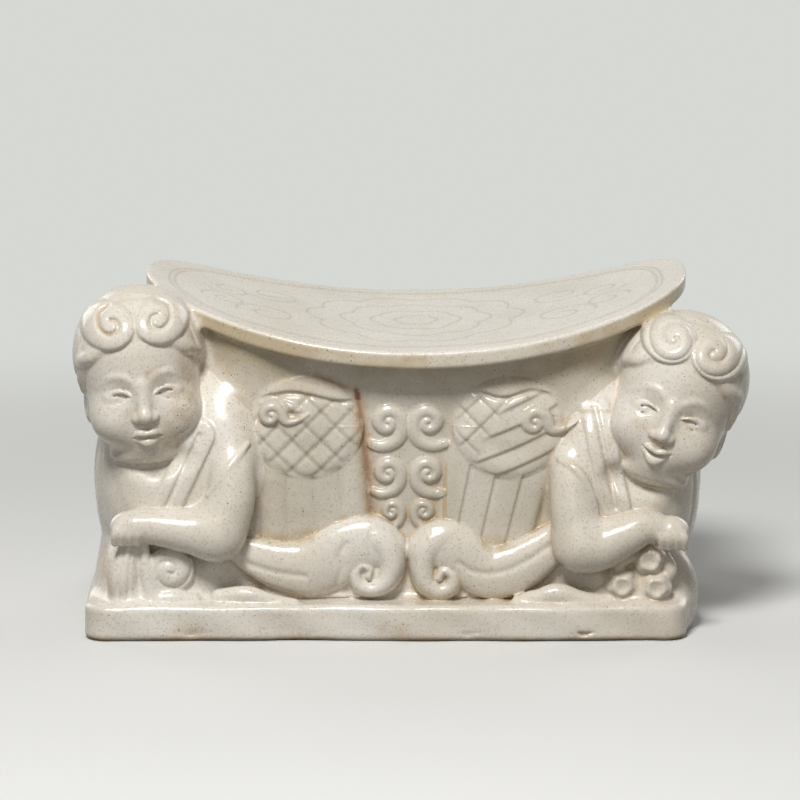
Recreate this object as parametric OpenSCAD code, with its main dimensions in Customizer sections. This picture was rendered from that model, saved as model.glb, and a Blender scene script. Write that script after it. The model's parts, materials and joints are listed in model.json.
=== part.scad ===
// Hollow ceramic pillow, slab-built and luted with slip: a walled box on a base slab carries
// a saddle-shaped headrest, and two winged child figures crouch at its ends.
// Millimetres, +Z up, front towards -Y, origin under the middle of the figures.

/* [Base slab] */
// How far the base slab reaches past the walled box at each end
base_end = 33.5; // [28:0.5:38]
// How far the base slab reaches past the walled box in front and behind
base_side = 14; // [11:0.5:18]
// Thickness of the base slab
base_h = 13; // [9:0.5:18]
// Corner radius of the base slab in plan
base_corner_r = 16; // [8:1:24]
// Rounding of the base slab's upper edge
base_edge_r = 4; // [2:0.5:6]
// How far the slab's middle lies to the left of the figures' middle
base_shift = 8; // [0:1:12]

/* [Hollow body] */
// Outer length of the walled box
body_l = 150; // [136:1:164]
// Outer depth of the walled box
body_d = 88; // [80:1:96]
// Height of the walls above the base slab
wall_h = 71; // [64:1:78]
// Thickness of the walls
wall_t = 7; // [5:0.5:10]
// Radius of the clay coils pressed into the inner corners
coil_r = 6; // [4:0.5:9]
// Diameter of the firing vent in the back wall
vent_d = 6; // [4:0.5:9]
// Height of the firing vent above the base slab
vent_z = 50; // [35:1:60]

/* [Headrest] */
// Length of the headrest slab
rest_l = 199; // [186:1:210]
// Depth of the headrest slab
rest_d = 116; // [106:1:124]
// Thickness of the headrest slab
rest_t = 5.5; // [4:0.5:8]
// Height of the saddle's lowest line above the walls
rest_gap = 25; // [20:0.5:30]
// Rise of the two ends above the middle
rest_rise = 20; // [12:0.5:26]
// Forward slope of the headrest in degrees
rest_pitch = 4; // [0:0.5:6]
// How far the headrest's middle lies to the right of the figures' middle
rest_shift = 3; // [-4:0.5:6]
// Width of the bare lip outside the collar
lip_w = 9; // [5:0.5:14]

/* [Torsos] */
// Width of a torso from side to side
torso_w = 58; // [52:1:64]
// Depth of a torso from chest to back
torso_d = 85; // [72:1:92]
// Height of a torso's shoulders above the base slab
torso_h = 73; // [66:1:80]
// How far the left torso's middle lies outside the box's end
left_torso_out = 10; // [6:0.5:14]
// How far the right torso's middle lies outside the box's end
right_torso_out = 0; // [-3:0.5:6]
// How far the chests stand proud of the front wall
chest_proud = 7; // [4:0.5:10]

/* [Heads] */
// Width of a head
head_w = 44; // [38:1:50]
// Depth of a head from face to back
head_d = 48; // [42:1:54]
// Height of a head
head_h = 62; // [56:1:68]
// How far the faces stand proud of the chests
face_proud = 11; // [7:0.5:15]
// How far each head's middle lies outside the box's end
head_out = 23.5; // [21:0.5:27]
// Height of the left chin above the base slab
left_chin_z = 51; // [46:0.5:56]
// Height of the right chin above the base slab
right_chin_z = 42; // [38:0.5:48]
// Outward lean of the right head in degrees
right_tilt = 18; // [0:1:24]
// Thickness of the hair
hair_t = 3; // [2:0.5:5]
// Radius of the rolled forelocks
lock_r = 2.4; // [2:0.1:2.8]
// Reach of a forelock's curl in degrees of the head
lock_turn = 17; // [15:0.5:18]

/* [Arms and hands] */
// Radius of an upper arm
arm_r = 9; // [7:0.5:11]
// Radius of a wrist
wrist_r = 6; // [5:0.5:7]
// Radius of a hand
hand_r = 8; // [6.5:0.5:9.5]
// Width of a robe band
band_w = 5; // [3:0.5:7]

/* [Wings and scrolls] */
// Distance of each wing's middle from the centre line
wing_x = 36; // [34:0.5:38]
// Height of the wing shoulders above the base slab
wing_z = 63; // [58:0.5:66]
// Radius of a wing shoulder
covert_r = 20; // [17:0.5:21]
// How far a wing shoulder stands proud of the wall
covert_proud = 5; // [3:0.5:8]
// Number of long feathers in a wing
feathers = 4; // [3:1:5]
// Width of a wing across its long feathers
feather_span = 40; // [36:1:42]
// How far the long feathers stand proud of the wall
feather_proud = 2.5; // [1.5:0.5:4]
// Reach of a cloud scroll from its eye
cloud_r = 6.2; // [5:0.2:7]
// Number of rows of cloud scrolls
cloud_rows = 3; // [2:1:3]
// Distance between two rows of cloud scrolls
cloud_pitch = 16; // [14:0.5:18]

/* [Tails and sprigs] */
// Reach of a tail's curl from its eye
tail_curl = 15; // [12:0.5:16]
// Height of a tail's eye above the base slab
tail_eye_z = 8.6; // [8:0.2:11]
// Distance of a tail's eye from the centre line
tail_eye_x = 14; // [13:0.5:17]
// Radius of a tail at its root
tail_r = 9; // [7:0.5:10]
// How far a tail's root lies inside the box's end
tail_root_in = 15; // [12:0.5:18]
// Radius of a leaf sprig
leaf_r = 3.4; // [2.6:0.2:4]
// Width of the hanging sash end
sash_w = 12; // [10:0.5:14]
// Length of the hanging sash end
sash_l = 24; // [20:0.5:26]
// Reach of the sash's curl
sash_curl_r = 8; // [6.5:0.5:9]
// Radius of a blossom
blossom_r = 5.6; // [4.5:0.2:6.4]

/* [Hidden] */

LEFT = -1;
RIGHT = 1;
SMALL = 0.01;
glaze = [0.87, 0.85, 0.80];

base_l = body_l + 2 * base_end;
base_d = body_d + 2 * base_side;
wall_top = base_h + wall_h;
face_y = -body_d / 2;
chest_y = face_y - chest_proud;
torso_y = chest_y + torso_d / 2;
head_x = body_l / 2 + head_out;
head_y = chest_y - face_proud + head_d / 2;
rest_low = wall_top + rest_gap;
saddle_r = (pow(rest_l / 2, 2) + pow(rest_rise, 2)) / (2 * rest_rise);

// Curves

// One point of a smooth curve between the second and third of four points.
function between(a, b, c, d, t) =
    0.5 * (2 * b + (c - a) * t + (2 * a - 5 * b + 4 * c - d) * t * t
           + (3 * b - a - 3 * c + d) * t * t * t);

// A smooth curve through points, with some steps from each point to the next.
function smooth(p, steps) = [
    for (i = [0 : len(p) - 2]) for (s = [0 : steps - 1])
        between(p[max(i - 1, 0)], p[i], p[i + 1], p[min(i + 2, len(p) - 1)], s / steps),
    p[len(p) - 1]
];

// A curl that winds in towards its eye: points [x, y, z, radius] in a plane of constant y.
// turn is signed, in degrees, and core is the share of the reach that the roll's radius takes.
function curl(eye, y, reach, start, turn, steps, core) = [
    for (i = [0 : steps])
        let (a = start + turn * i / steps, r = reach * exp(-0.0052 * abs(turn) * i / steps))
            [eye[0] + r * cos(a), y, eye[1] + r * sin(a), core * r + 0.7]
];

function unit(v) = v / norm(v);

// Solids

// A closed skin over rings of equal count, each wound anticlockwise seen from the last ring's side.
module skin(rings) {
    n = len(rings[0]);
    m = len(rings);
    sides = [
        for (j = [0 : m - 2]) for (i = [0 : n - 1])
            let (a = j * n + i, b = j * n + (i + 1) % n)
                each [[a, b + n, b], [a, a + n, b + n]]
    ];
    caps = [[for (i = [0 : n - 1]) i], [for (i = [n - 1 : -1 : 0]) (m - 1) * n + i]];
    polyhedron([for (ring = rings) each ring], concat(sides, caps));
}

// A roll of clay along points [x, y, z, radius]; proud scales its radius towards the front.
module roll(path, proud = 1, sides = 10) {
    last = len(path) - 1;
    skin([
        for (i = [0 : last])
            let (
                p = path[i],
                q = path[min(i + 1, last)] - path[max(i - 1, 0)],
                along = unit([q[0], q[1], q[2]]),
                across = unit(cross(along, [0, 1, 0])),
                out = cross(along, across)
            )
                [for (k = [0 : sides - 1])
                    let (a = 360 * k / sides)
                        [p[0], p[1], p[2]] + p[3] * (across * cos(a) + out * proud * sin(a))]
    ]);
}

// A pressed lump with three radii, as flat rings from bottom to top.
module lump(centre, radii, sides = 18, rows = 9) {
    skin([
        for (j = [0 : rows])
            let (v = -86 + 172 * j / rows)
                [for (i = [0 : sides - 1])
                    let (a = 360 * i / sides)
                        centre + [radii[0] * cos(v) * cos(a), radii[1] * cos(v) * sin(a), radii[2] * sin(v)]]
    ]);
}

// Base and body

module base_slab() {
    corner_x = base_l / 2 - base_corner_r;
    corner_y = base_d / 2 - base_corner_r;
    arc = [for (a = [0 : 22.5 : 90])
        [base_corner_r - base_edge_r * (1 - cos(a)), base_h - base_edge_r * (1 - sin(a))]];
    foot = [[0, 0], [base_corner_r - 1, 0], [base_corner_r, 1]];
    color(glaze)
        translate([-base_shift, 0, 0])
            hull()
                for (x = [-corner_x, corner_x], y = [-corner_y, corner_y])
                    translate([x, y, 0])
                        rotate_extrude($fn = 32)
                            polygon(concat(foot, arc, [[0, base_h]]));
}

// The whole block of the box, which the pieces on its outside are cut to fit; rise adds height to it.
module body_block(rise = 0) {
    translate([-body_l / 2, -body_d / 2, base_h])
        cube([body_l, body_d, wall_h + rise]);
}

module long_wall(y) {
    translate([-body_l / 2, y, base_h])
        cube([body_l, wall_t, wall_h]);
}

module end_wall(side) {
    translate([side * (body_l - wall_t) / 2 - wall_t / 2, -body_d / 2 + wall_t, base_h])
        cube([wall_t, body_d - 2 * wall_t, wall_h]);
}

module front_wall() {
    color(glaze)
        long_wall(-body_d / 2);
}

module back_wall() {
    color(glaze)
        difference() {
            long_wall(body_d / 2 - wall_t);
            translate([0, body_d / 2 + SMALL, base_h + vent_z])
                rotate([90, 0, 0])
                    cylinder(d = vent_d, h = wall_t + 2 * SMALL, $fn = 48);
        }
}

module left_end_wall() {
    color(glaze)
        end_wall(LEFT);
}

module right_end_wall() {
    color(glaze)
        end_wall(RIGHT);
}

// Quarter-round coils that strengthen the four upright seams from the inside.
module inner_corner_coils() {
    inner_x = body_l / 2 - wall_t;
    inner_y = body_d / 2 - wall_t;
    color(glaze)
        for (x = [LEFT, RIGHT], y = [LEFT, RIGHT])
            intersection() {
                translate([x * inner_x, y * inner_y, base_h])
                    cylinder(r = coil_r, h = wall_h, $fn = 48);
                translate([x * inner_x, y * inner_y, base_h])
                    rotate([0, 0, x * y > 0 ? (x > 0 ? 180 : 0) : (x > 0 ? 90 : -90)])
                        cube([coil_r, coil_r, wall_h]);
            }
}

// Headrest

// Reach of a rounded outline in one direction; a smaller soft makes squarer corners.
function outline_reach(a, half_l, half_d, soft) =
    pow(pow(abs(cos(a)) / half_l, 2 / soft) + pow(abs(sin(a)) / half_d, 2 / soft), -soft / 2);

// Outline of the headrest in plan, fuller at its right end.
function rest_outline(inset, steps) = [
    for (i = [0 : steps - 1])
        let (
            a = 360 * i / steps,
            r = outline_reach(a, rest_l / 2 - inset, rest_d / 2 - inset, cos(a) > 0 ? 0.76 : 0.92)
        )
            r * [cos(a), sin(a)]
];

// The cylinder that lies in the saddle; a greater radius reaches the saddle's underside.
module saddle_cylinder(r) {
    translate([rest_shift, 0, rest_low])
        rotate([rest_pitch, 0, 0])
            translate([0, rest_d, saddle_r])
                rotate([90, 0, 0])
                    cylinder(r = r, h = 2 * rest_d, $fn = 200);
}

// The headrest before its saddle is hollowed.
module rest_block() {
    intersection() {
        translate([rest_shift, 0, wall_top])
            linear_extrude(rest_gap + 3 * rest_rise)
                polygon(rest_outline(0, 64));
        saddle_cylinder(saddle_r + rest_t);
    }
}

module headrest_slab() {
    color(glaze)
        difference() {
            rest_block();
            saddle_cylinder(saddle_r);
            for (side = [LEFT, RIGHT])
                hair_mass(side);
        }
}

// The flared collar between the walls and the headrest, as one ring of clay.
module collar_ring() {
    steps = 40;
    rows = 4;
    rim = rest_outline(lip_w, steps);
    function ring(inset, t) = [
        for (i = [0 : steps - 1])
            let (
                a = 360 * i / steps,
                flare = pow(t, 1.7),
                foot = outline_reach(a, body_l / 2, body_d / 2, 0.2) * [cos(a), sin(a)],
                p = foot * (1 - flare) + (rim[i] + [rest_shift, 0]) * flare,
                q = p - inset * unit(p),
                lift = rest_gap + rest_rise * pow(2 * q[0] / rest_l, 2)
            )
                [q[0], q[1], wall_top + lift * t]
    ];
    outside = [for (j = [0 : rows]) ring(0, j / rows)];
    inside = [for (j = [rows : -1 : 0]) ring(wall_t, j / rows)];
    rings = concat(outside, inside);
    count = len(rings);
    polyhedron(
        [for (r = rings) each r],
        [for (j = [0 : count - 1]) for (i = [0 : steps - 1])
            let (
                a = j * steps + i, b = j * steps + (i + 1) % steps,
                c = (j + 1) % count * steps + i, d = (j + 1) % count * steps + (i + 1) % steps
            )
                each [[a, d, b], [a, c, d]]]
    );
}

module headrest_collar() {
    color(glaze)
        difference() {
            collar_ring();
            saddle_cylinder(saddle_r + rest_t);
            for (side = [LEFT, RIGHT]) {
                head(side);
                hair_mass(side);
            }
        }
}

// Figures

function torso_x(side) = side * (body_l / 2 + (side < 0 ? left_torso_out : right_torso_out));

// The forms that make up a torso, each as its middle and its half sizes: the trunk, the chest under the
// chin, the robe's skirt round the foot, the lap in front and the flank that spreads to the base's end.
function torso_forms(side) =
    let (
        trunk_x = torso_x(side) + side * torso_w * (side < 0 ? 0.12 : 0.16),
        base_end_x = side * base_l / 2 - base_shift
    )
        [
            [[trunk_x, torso_y, base_h + 0.53 * torso_h], [0.42 * torso_w, torso_d / 2, 0.6 * torso_h]],
            [[trunk_x - side * 0.2 * torso_w, chest_y + 0.18 * torso_d, base_h + (side < 0 ? 0.66 : 0.6) * torso_h],
             [0.36 * torso_w, 0.18 * torso_d, 0.32 * torso_h]],
            [[base_end_x - side * 0.4 * torso_w, torso_y, base_h], [0.39 * torso_w, torso_d / 2, 0.46 * torso_h]],
            [[trunk_x - side * 0.07 * torso_w, chest_y + 0.22 * torso_d, base_h],
             [0.46 * torso_w, 0.21 * torso_d, 0.34 * torso_h]],
            [[base_end_x - side * 0.28 * torso_w, torso_y - 0.04 * torso_d, base_h],
             [0.27 * torso_w, 0.48 * torso_d, 0.38 * torso_h]]
        ];

// How far a form reaches from a point at its own height, in the direction of an angle; 0 where it doesn't.
function form_reach(form, from, a) =
    let (
        level = 1 - pow((from[2] - form[0][2]) / form[1][2], 2),
        wide = form[1][0] * sqrt(max(level, SMALL)),
        deep = form[1][1] * sqrt(max(level, SMALL)),
        start = [(from[0] - form[0][0]) / wide, (from[1] - form[0][1]) / deep],
        way = [cos(a) / wide, sin(a) / deep],
        half = start * way,
        root = half * half - way * way * (start * start - 1)
    )
        level <= 0 || root < 0 ? 0 : max(0, (sqrt(root) - half) / (way * way));

module torso_mass(side) {
    rows = 11;
    sides = 30;
    forms = torso_forms(side);
    trunk = forms[0];
    back_h = trunk[0][2] + trunk[1][2] - base_h;
    skin([
        for (j = [0 : rows])
            let (t = 0.992 * (1 - pow(1 - j / rows, 1.7)), from = [trunk[0][0], torso_y, base_h + back_h * t])
                [for (i = [0 : sides - 1])
                    let (a = 360 * i / sides)
                        from + max([for (form = forms) form_reach(form, from, a)]) * [cos(a), sin(a), 0]]
    ]);
}

module torso(side) {
    color(glaze)
        difference() {
            torso_mass(side);
            translate([0, 0, -base_h])
                body_block(rest_gap + rest_rise + base_h);
            collar_ring();
            head(side);
            hair_mass(side);
        }
}

module left_torso() torso(LEFT);

module right_torso() torso(RIGHT);

// Heads

// A soft bump at a place on the head, in degrees from the middle of the face.
function bump(u, v, u0, v0, wide, high) = exp(-pow((u - u0) / wide, 2) - pow((v - v0) / high, 2));

// Distance of the face and skull from the head's middle.
function skull(u, v) =
    let (
        s = abs(u),
        oval = 0.5 / norm([cos(v) * sin(u) / head_w, cos(v) * cos(u) / head_d, sin(v) / head_h])
    )
        oval + head_d * (
            0.075 * bump(s, v, 0, -8, 7, 9) + 0.03 * bump(s, v, 0, -14, 11, 5)
            + 0.02 * bump(s, v, 18, 11, 12, 4) - 0.025 * bump(s, v, 17, 2, 9, 5)
            + 0.02 * bump(s, v, 19, -1, 7, 3) + 0.03 * bump(s, v, 27, -20, 14, 13)
            - 0.02 * bump(s, v, 0, -28, 10, 2.5)
            + 0.02 * bump(s, v, 0, -32, 8, 3) + 0.03 * bump(s, v, 0, -46, 13, 8)
            + 0.08 * bump(s, v, 98, -10, 7, 16)
        );

function head_point(u, v, r) = r * [cos(v) * sin(u), -cos(v) * cos(u), sin(v)];

// Columns of the head's grid lie closer together on the face.
function head_column(i, count) = 360 * i / count - 27 * sin(360 * i / count) - 180 * floor(i / count);

module place_head(side) {
    tilt = side < 0 ? 0 : right_tilt;
    chin = side < 0 ? left_chin_z : right_chin_z;
    translate([side * head_x, head_y, base_h + chin + head_h / 2])
        rotate([0, tilt, 0])
            children();
}

module head(side) {
    columns = 28;
    rows = 18;
    place_head(side)
        skin([
            for (j = [0 : rows])
                let (v = -87 + 174 * j / rows)
                    [for (i = [0 : columns - 1])
                        let (u = head_column(i, columns), w = u > 180 ? u - 360 : u)
                            head_point(w, v, skull(w, v))]
        ]);
}

module left_head()
    color(glaze)
        head(LEFT);

module right_head()
    color(glaze)
        head(RIGHT);

// Lower edge of the hair, high over the brow and falling to the nape.
function hairline(u) = 38 * cos(u) - 2;

function hair_surface(u, v) = skull(u, max(v, 20)) + hair_t;

// The hair as a solid that runs down to the head's middle.
module hair_mass(side) {
    columns = 28;
    rows = 7;
    place_head(side)
        skin(concat(
            [[for (i = [0 : columns - 1])
                let (u = head_column(i, columns), w = u > 180 ? u - 360 : u)
                    head_point(w, hairline(w), 0.2 * head_w)]],
            [for (j = [0 : rows])
                [for (i = [0 : columns - 1])
                    let (
                        u = head_column(i, columns), w = u > 180 ? u - 360 : u,
                        v = hairline(w) + (87 - hairline(w)) * j / rows
                    )
                        head_point(w, v, hair_surface(w, v))]]
        ));
}

module hair(side) {
    color(glaze)
        difference() {
            hair_mass(side);
            head(side);
        }
}

module left_hair() hair(LEFT);

module right_hair() hair(RIGHT);

// Two locks rolled into curls above the brow.
module forelocks(side) {
    steps = 16;
    brow = 48;
    color(glaze)
        difference() {
            place_head(side)
                for (part = [LEFT, RIGHT])
                    roll([
                        for (i = [0 : steps])
                            let (
                                a = 90 - part * (90 + 380 * i / steps),
                                r = lock_turn * exp(-1.4 * i / steps),
                                u = (part * 1.36 * lock_turn + r * cos(a)) / cos(brow),
                                v = brow + r * sin(a),
                                p = head_point(u, v, hair_surface(u, v))
                            )
                                [p[0], p[1], p[2], lock_r * (1 - 0.45 * i / steps)]
                    ], 1, 8);
            hair_mass(side);
        }
}

module left_forelocks() forelocks(LEFT);

module right_forelocks() forelocks(RIGHT);

// Arms

// Points of each arm, as shares of the torso's width from its middle, of the arm's girth from the chest
// and of the torso's height, with a share of the way from the wrist's girth to the arm's.
function upper_arm(side) = side < 0
    ? [[0.40, 0.65, 0.79, 0.9], [0.40, 0.1, 0.62, 1], [0.36, -0.2, 0.42, 1], [0.33, -0.35, 0.30, 0.9]]
    : [[-0.28, 0.65, 0.71, 0.9], [-0.29, 0.1, 0.52, 1], [-0.26, -0.2, 0.34, 1], [-0.19, -0.35, 0.23, 0.9]];

function forearm(side) = side < 0
    ? [[0.33, -0.35, 0.30, 0.8], [0.07, -0.45, 0.34, 0.5], [-0.14, -0.45, 0.40, 0]]
    : [[-0.19, -0.35, 0.23, 0.8], [0.03, -0.45, 0.30, 0.5], [0.21, -0.45, 0.38, 0]];

function on_chest(side, p) = [
    torso_x(side) + p[0] * torso_w,
    chest_y + p[1] * arm_r,
    base_h + p[2] * torso_h,
    wrist_r + (arm_r - wrist_r) * p[3]
];

module arm_roll(side) {
    elbow = on_chest(side, forearm(side)[0]);
    roll([for (p = smooth(upper_arm(side), 3)) on_chest(side, p)], 0.85, 12);
    roll([for (p = smooth(forearm(side), 4)) on_chest(side, p)], 0.85, 12);
    lump([elbow[0], elbow[1], elbow[2]], elbow[3] * [1.02, 0.87, 1.02], 16, 8);
}

module arm(side) {
    color(glaze)
        difference() {
            arm_roll(side);
            torso_mass(side);
            body_block();
            head(side);
        }
}

module left_arm() arm(LEFT);

module right_arm() arm(RIGHT);

module hand_lump(side) {
    wrist = on_chest(side, forearm(side)[2]);
    lump([wrist[0] + side * 0.62 * hand_r, wrist[1] + 0.12 * hand_r, wrist[2] - 0.2 * hand_r],
         hand_r * [1, 0.8, 0.75], 14, 8);
}

module hand(side) {
    color(glaze)
        difference() {
            hand_lump(side);
            arm_roll(side);
            torso_mass(side);
        }
}

module left_hand() hand(LEFT);

module right_hand() hand(RIGHT);

// Bands of the crossed robe, from the neck down behind the forearm.
module robe_bands(side) {
    color(glaze)
        difference() {
            for (k = [0 : 2])
                roll(smooth([
                    [torso_x(side) - side * torso_w * (0.17 + 0.1 * k), chest_y + band_w,
                     base_h + torso_h * (0.75 - 0.03 * k), band_w / 2],
                    [torso_x(side) - side * torso_w * (0.1 + 0.09 * k), chest_y + 0.3 * band_w,
                     base_h + 0.6 * torso_h, band_w / 2],
                    [torso_x(side) + side * torso_w * (0.02 - 0.07 * k), chest_y + 0.1 * band_w,
                     base_h + 0.45 * torso_h, band_w / 2]
                ], 4), 0.7, 8);
            torso_mass(side);
            arm_roll(side);
            head(side);
            body_block();
        }
}

module left_robe_bands() robe_bands(LEFT);

module right_robe_bands() robe_bands(RIGHT);

// Wings

module covert_lump(side) {
    lump([side * wing_x, face_y, base_h + wing_z], [covert_r, covert_proud, covert_r], 24, 12);
}

module wing_shoulder(side) {
    color(glaze)
        difference() {
            covert_lump(side);
            body_block();
            collar_ring();
            torso_mass(side);
            arm_roll(side);
        }
}

module left_wing_shoulder() wing_shoulder(LEFT);

module right_wing_shoulder() wing_shoulder(RIGHT);

module wing_feathers(side) {
    pitch = feather_span / feathers;
    color(glaze)
        difference() {
            for (k = [0 : feathers - 1])
                let (x = side * wing_x + (k + 0.5) * pitch - feather_span / 2)
                    roll([
                        [x, face_y, base_h + 1.3 * tail_r, pitch / 2 - 0.2],
                        [x, face_y, base_h + wing_z / 2, pitch / 2 - 0.2],
                        [x, face_y, base_h + wing_z, pitch / 2 - 0.2]
                    ], feather_proud / (pitch / 2), 12);
            body_block();
            covert_lump(side);
            arm_roll(side);
            torso_mass(side);
            for (s = [LEFT, RIGHT])
                tail_roll(s);
        }
}

module left_wing_feathers() wing_feathers(LEFT);

module right_wing_feathers() wing_feathers(RIGHT);

// The curl on each wing shoulder, seated on its dome.
module wing_scroll(side) {
    eye = [side * (wing_x + covert_r / 2), base_h + wing_z + 0.1 * covert_r];
    color(glaze)
        difference() {
            roll(curl(eye, face_y - 0.78 * covert_proud, 0.35 * covert_r, 90, side * -320, 18, 0.22), 1, 8);
            covert_lump(side);
            body_block();
        }
}

module left_wing_scroll() wing_scroll(LEFT);

module right_wing_scroll() wing_scroll(RIGHT);

// Paired cloud scrolls in the middle of the front wall.
module cloud_scrolls() {
    color(glaze)
        difference() {
            for (row = [0 : cloud_rows - 1], side = [LEFT, RIGHT])
                roll(curl([side * 1.1 * cloud_r, base_h + wing_z - row * cloud_pitch],
                          face_y, cloud_r, -90, side * 300, 16, 0.28), 0.9, 8);
            body_block();
            for (s = [LEFT, RIGHT])
                tail_roll(s);
        }
}

// Tails

function tail_path(side) =
    let (
        eye = [side * tail_eye_x, base_h + tail_eye_z],
        y = face_y - 0.55 * tail_r,
        root_x = body_l / 2 - tail_root_in,
        step = root_x - tail_eye_x,
        root_z = side < 0 ? 1.67 : 2.67,
        body = smooth([
            [side * root_x, y + 0.45 * tail_r, base_h + root_z * tail_r, 0.9 * tail_r],
            [side * (root_x - 0.3 * step), y + 0.1 * tail_r, base_h + 1.45 * tail_r, tail_r],
            [side * (root_x - 0.59 * step), y, base_h + 1.33 * tail_r, tail_r],
            [side * (root_x - 0.78 * step), y, base_h + 1.9 * tail_r, 0.95 * tail_r]
        ], 3)
    )
        concat(body, curl(eye, y - 1, tail_curl, side < 0 ? 100 : 80, side * 430, 30, 0.4));

module tail_roll(side) {
    roll(tail_path(side), 0.7, 10);
}

module tail(side) {
    color(glaze)
        difference() {
            tail_roll(side);
            body_block();
            torso_mass(side);
            arm_roll(side);
            translate([-base_l, -base_d, -SMALL])
                cube([2 * base_l, 2 * base_d, base_h + SMALL]);
            if (side > 0)
                tail_roll(LEFT);
        }
}

module left_tail() tail(LEFT);

module right_tail() tail(RIGHT);

// A leaf that springs from under each elbow and lies on the ledge of the slab.
module leaf_sprig(side) {
    middle = abs(torso_x(side));
    root = middle - torso_w * (side < 0 ? 0.33 : 0.43);
    tip = middle - torso_w * (side < 0 ? 0.66 : 0.02);
    color(glaze)
        difference() {
            roll(smooth([
                [side * root, chest_y, base_h + 0.3 * leaf_r, 0.6 * leaf_r],
                [side * (root + tip) / 2, chest_y, base_h + 1.5 * leaf_r, leaf_r],
                [side * tip, chest_y, base_h + 0.4 * leaf_r, 0.45 * leaf_r]
            ], 5), 1.2, 8);
            tail_roll(side);
            torso_mass(side);
            body_block();
            arm_roll(side);
            translate([-base_l, -base_d, -SMALL])
                cube([2 * base_l, 2 * base_d, base_h + SMALL]);
        }
}

module left_leaf_sprig() leaf_sprig(LEFT);

module right_leaf_sprig() leaf_sprig(RIGHT);

// Sash and blossoms under the hands

module sash_lump() {
    lump([torso_x(LEFT) - 0.24 * torso_w, chest_y + sash_w / 4, base_h + sash_l / 2 + SMALL],
         [sash_w / 2, sash_w / 2, sash_l / 2], 14, 8);
}

module left_sash_end() {
    color(glaze)
        difference() {
            sash_lump();
            hand_lump(LEFT);
            arm_roll(LEFT);
            torso_mass(LEFT);
        }
}

module left_sash_curl() {
    eye = [torso_x(LEFT) + 0.02 * torso_w, base_h + 1.4 * sash_curl_r];
    color(glaze)
        difference() {
            roll(curl(eye, chest_y, sash_curl_r, 150, 320, 18, 0.26), 1.2, 8);
            sash_lump();
            hand_lump(LEFT);
            arm_roll(LEFT);
            torso_mass(LEFT);
        }
}

// Three cupped blossoms, each a rolled rim round a button.
module right_blossoms() {
    places = [[1.96, 2.95], [0.63, 1.32], [2.64, 1.18]];
    color(glaze)
        difference() {
            for (p = places)
                translate([torso_x(RIGHT), chest_y, base_h] + blossom_r * [p[0], 0.2, p[1]])
                    rotate([90, 0, 0]) {
                        rotate_extrude($fn = 32)
                            translate([0.64 * blossom_r, 0])
                                circle(r = 0.34 * blossom_r, $fn = 24);
                        translate([0, 0, -blossom_r])
                            cylinder(r = 0.64 * blossom_r, h = blossom_r + 1, $fn = 32);
                    }
            hand_lump(RIGHT);
            arm_roll(RIGHT);
            torso_mass(RIGHT);
        }
}

base_slab();
front_wall();
back_wall();
left_end_wall();
right_end_wall();
inner_corner_coils();
headrest_collar();
headrest_slab();
left_torso();
right_torso();
left_head();
right_head();
left_hair();
right_hair();
left_forelocks();
right_forelocks();
left_arm();
right_arm();
left_hand();
right_hand();
left_robe_bands();
right_robe_bands();
left_wing_shoulder();
right_wing_shoulder();
left_wing_feathers();
right_wing_feathers();
left_wing_scroll();
right_wing_scroll();
cloud_scrolls();
left_tail();
right_tail();
left_leaf_sprig();
right_leaf_sprig();
left_sash_end();
left_sash_curl();
right_blossoms();
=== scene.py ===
import json
import math
from concurrent.futures import ThreadPoolExecutor
from functools import partial

import bpy
import numpy as np
import openvdb
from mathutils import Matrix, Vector

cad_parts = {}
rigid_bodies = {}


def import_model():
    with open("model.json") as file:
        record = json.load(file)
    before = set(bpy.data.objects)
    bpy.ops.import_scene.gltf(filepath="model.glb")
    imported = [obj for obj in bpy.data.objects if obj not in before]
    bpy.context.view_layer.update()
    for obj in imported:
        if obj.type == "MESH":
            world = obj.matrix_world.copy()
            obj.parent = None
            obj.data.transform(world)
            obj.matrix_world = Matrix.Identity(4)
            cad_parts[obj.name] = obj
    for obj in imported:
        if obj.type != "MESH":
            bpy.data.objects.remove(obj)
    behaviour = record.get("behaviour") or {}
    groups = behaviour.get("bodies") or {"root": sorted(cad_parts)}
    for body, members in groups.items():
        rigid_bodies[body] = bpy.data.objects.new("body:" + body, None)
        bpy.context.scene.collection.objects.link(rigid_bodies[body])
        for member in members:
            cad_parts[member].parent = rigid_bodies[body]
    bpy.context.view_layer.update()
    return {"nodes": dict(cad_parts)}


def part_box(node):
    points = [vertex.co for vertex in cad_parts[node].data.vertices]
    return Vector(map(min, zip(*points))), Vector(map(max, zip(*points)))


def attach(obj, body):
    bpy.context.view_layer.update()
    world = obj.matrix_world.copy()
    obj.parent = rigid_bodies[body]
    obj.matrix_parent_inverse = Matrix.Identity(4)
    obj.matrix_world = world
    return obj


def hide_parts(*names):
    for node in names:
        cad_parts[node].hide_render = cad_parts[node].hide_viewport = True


for leftover in list(bpy.data.objects):
    bpy.data.objects.remove(leftover)
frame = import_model()

# The sculpting works in millimetres, with distances negative inside the clay. COARSE scales every sample
# spacing.
MM = 0.001
FAR = 60.0
COARSE = 1.0


def node_box(name):
    """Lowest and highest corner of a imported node, in millimetres."""
    low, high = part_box(name)
    return np.array(low) / MM, np.array(high) / MM


def middle(name):
    low, high = node_box(name)
    return (low + high) / 2


def outer_end(name, side):
    """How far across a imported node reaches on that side."""
    low, high = node_box(name)
    return high[0] if side > 0 else low[0]


# Driving sizes, read from the frame
base_low, base_high = node_box("base_slab")
front_low, front_high = node_box("front_wall")
back_low, back_high = node_box("back_wall")
rest_box_low, rest_box_high = node_box("headrest_slab")
floor_z = base_high[2]
wall_top = front_high[2]
face_y = front_low[1]
wall_t = front_high[1] - front_low[1]
body_half_l = front_high[0]
body_half_d = back_high[1]

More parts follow.
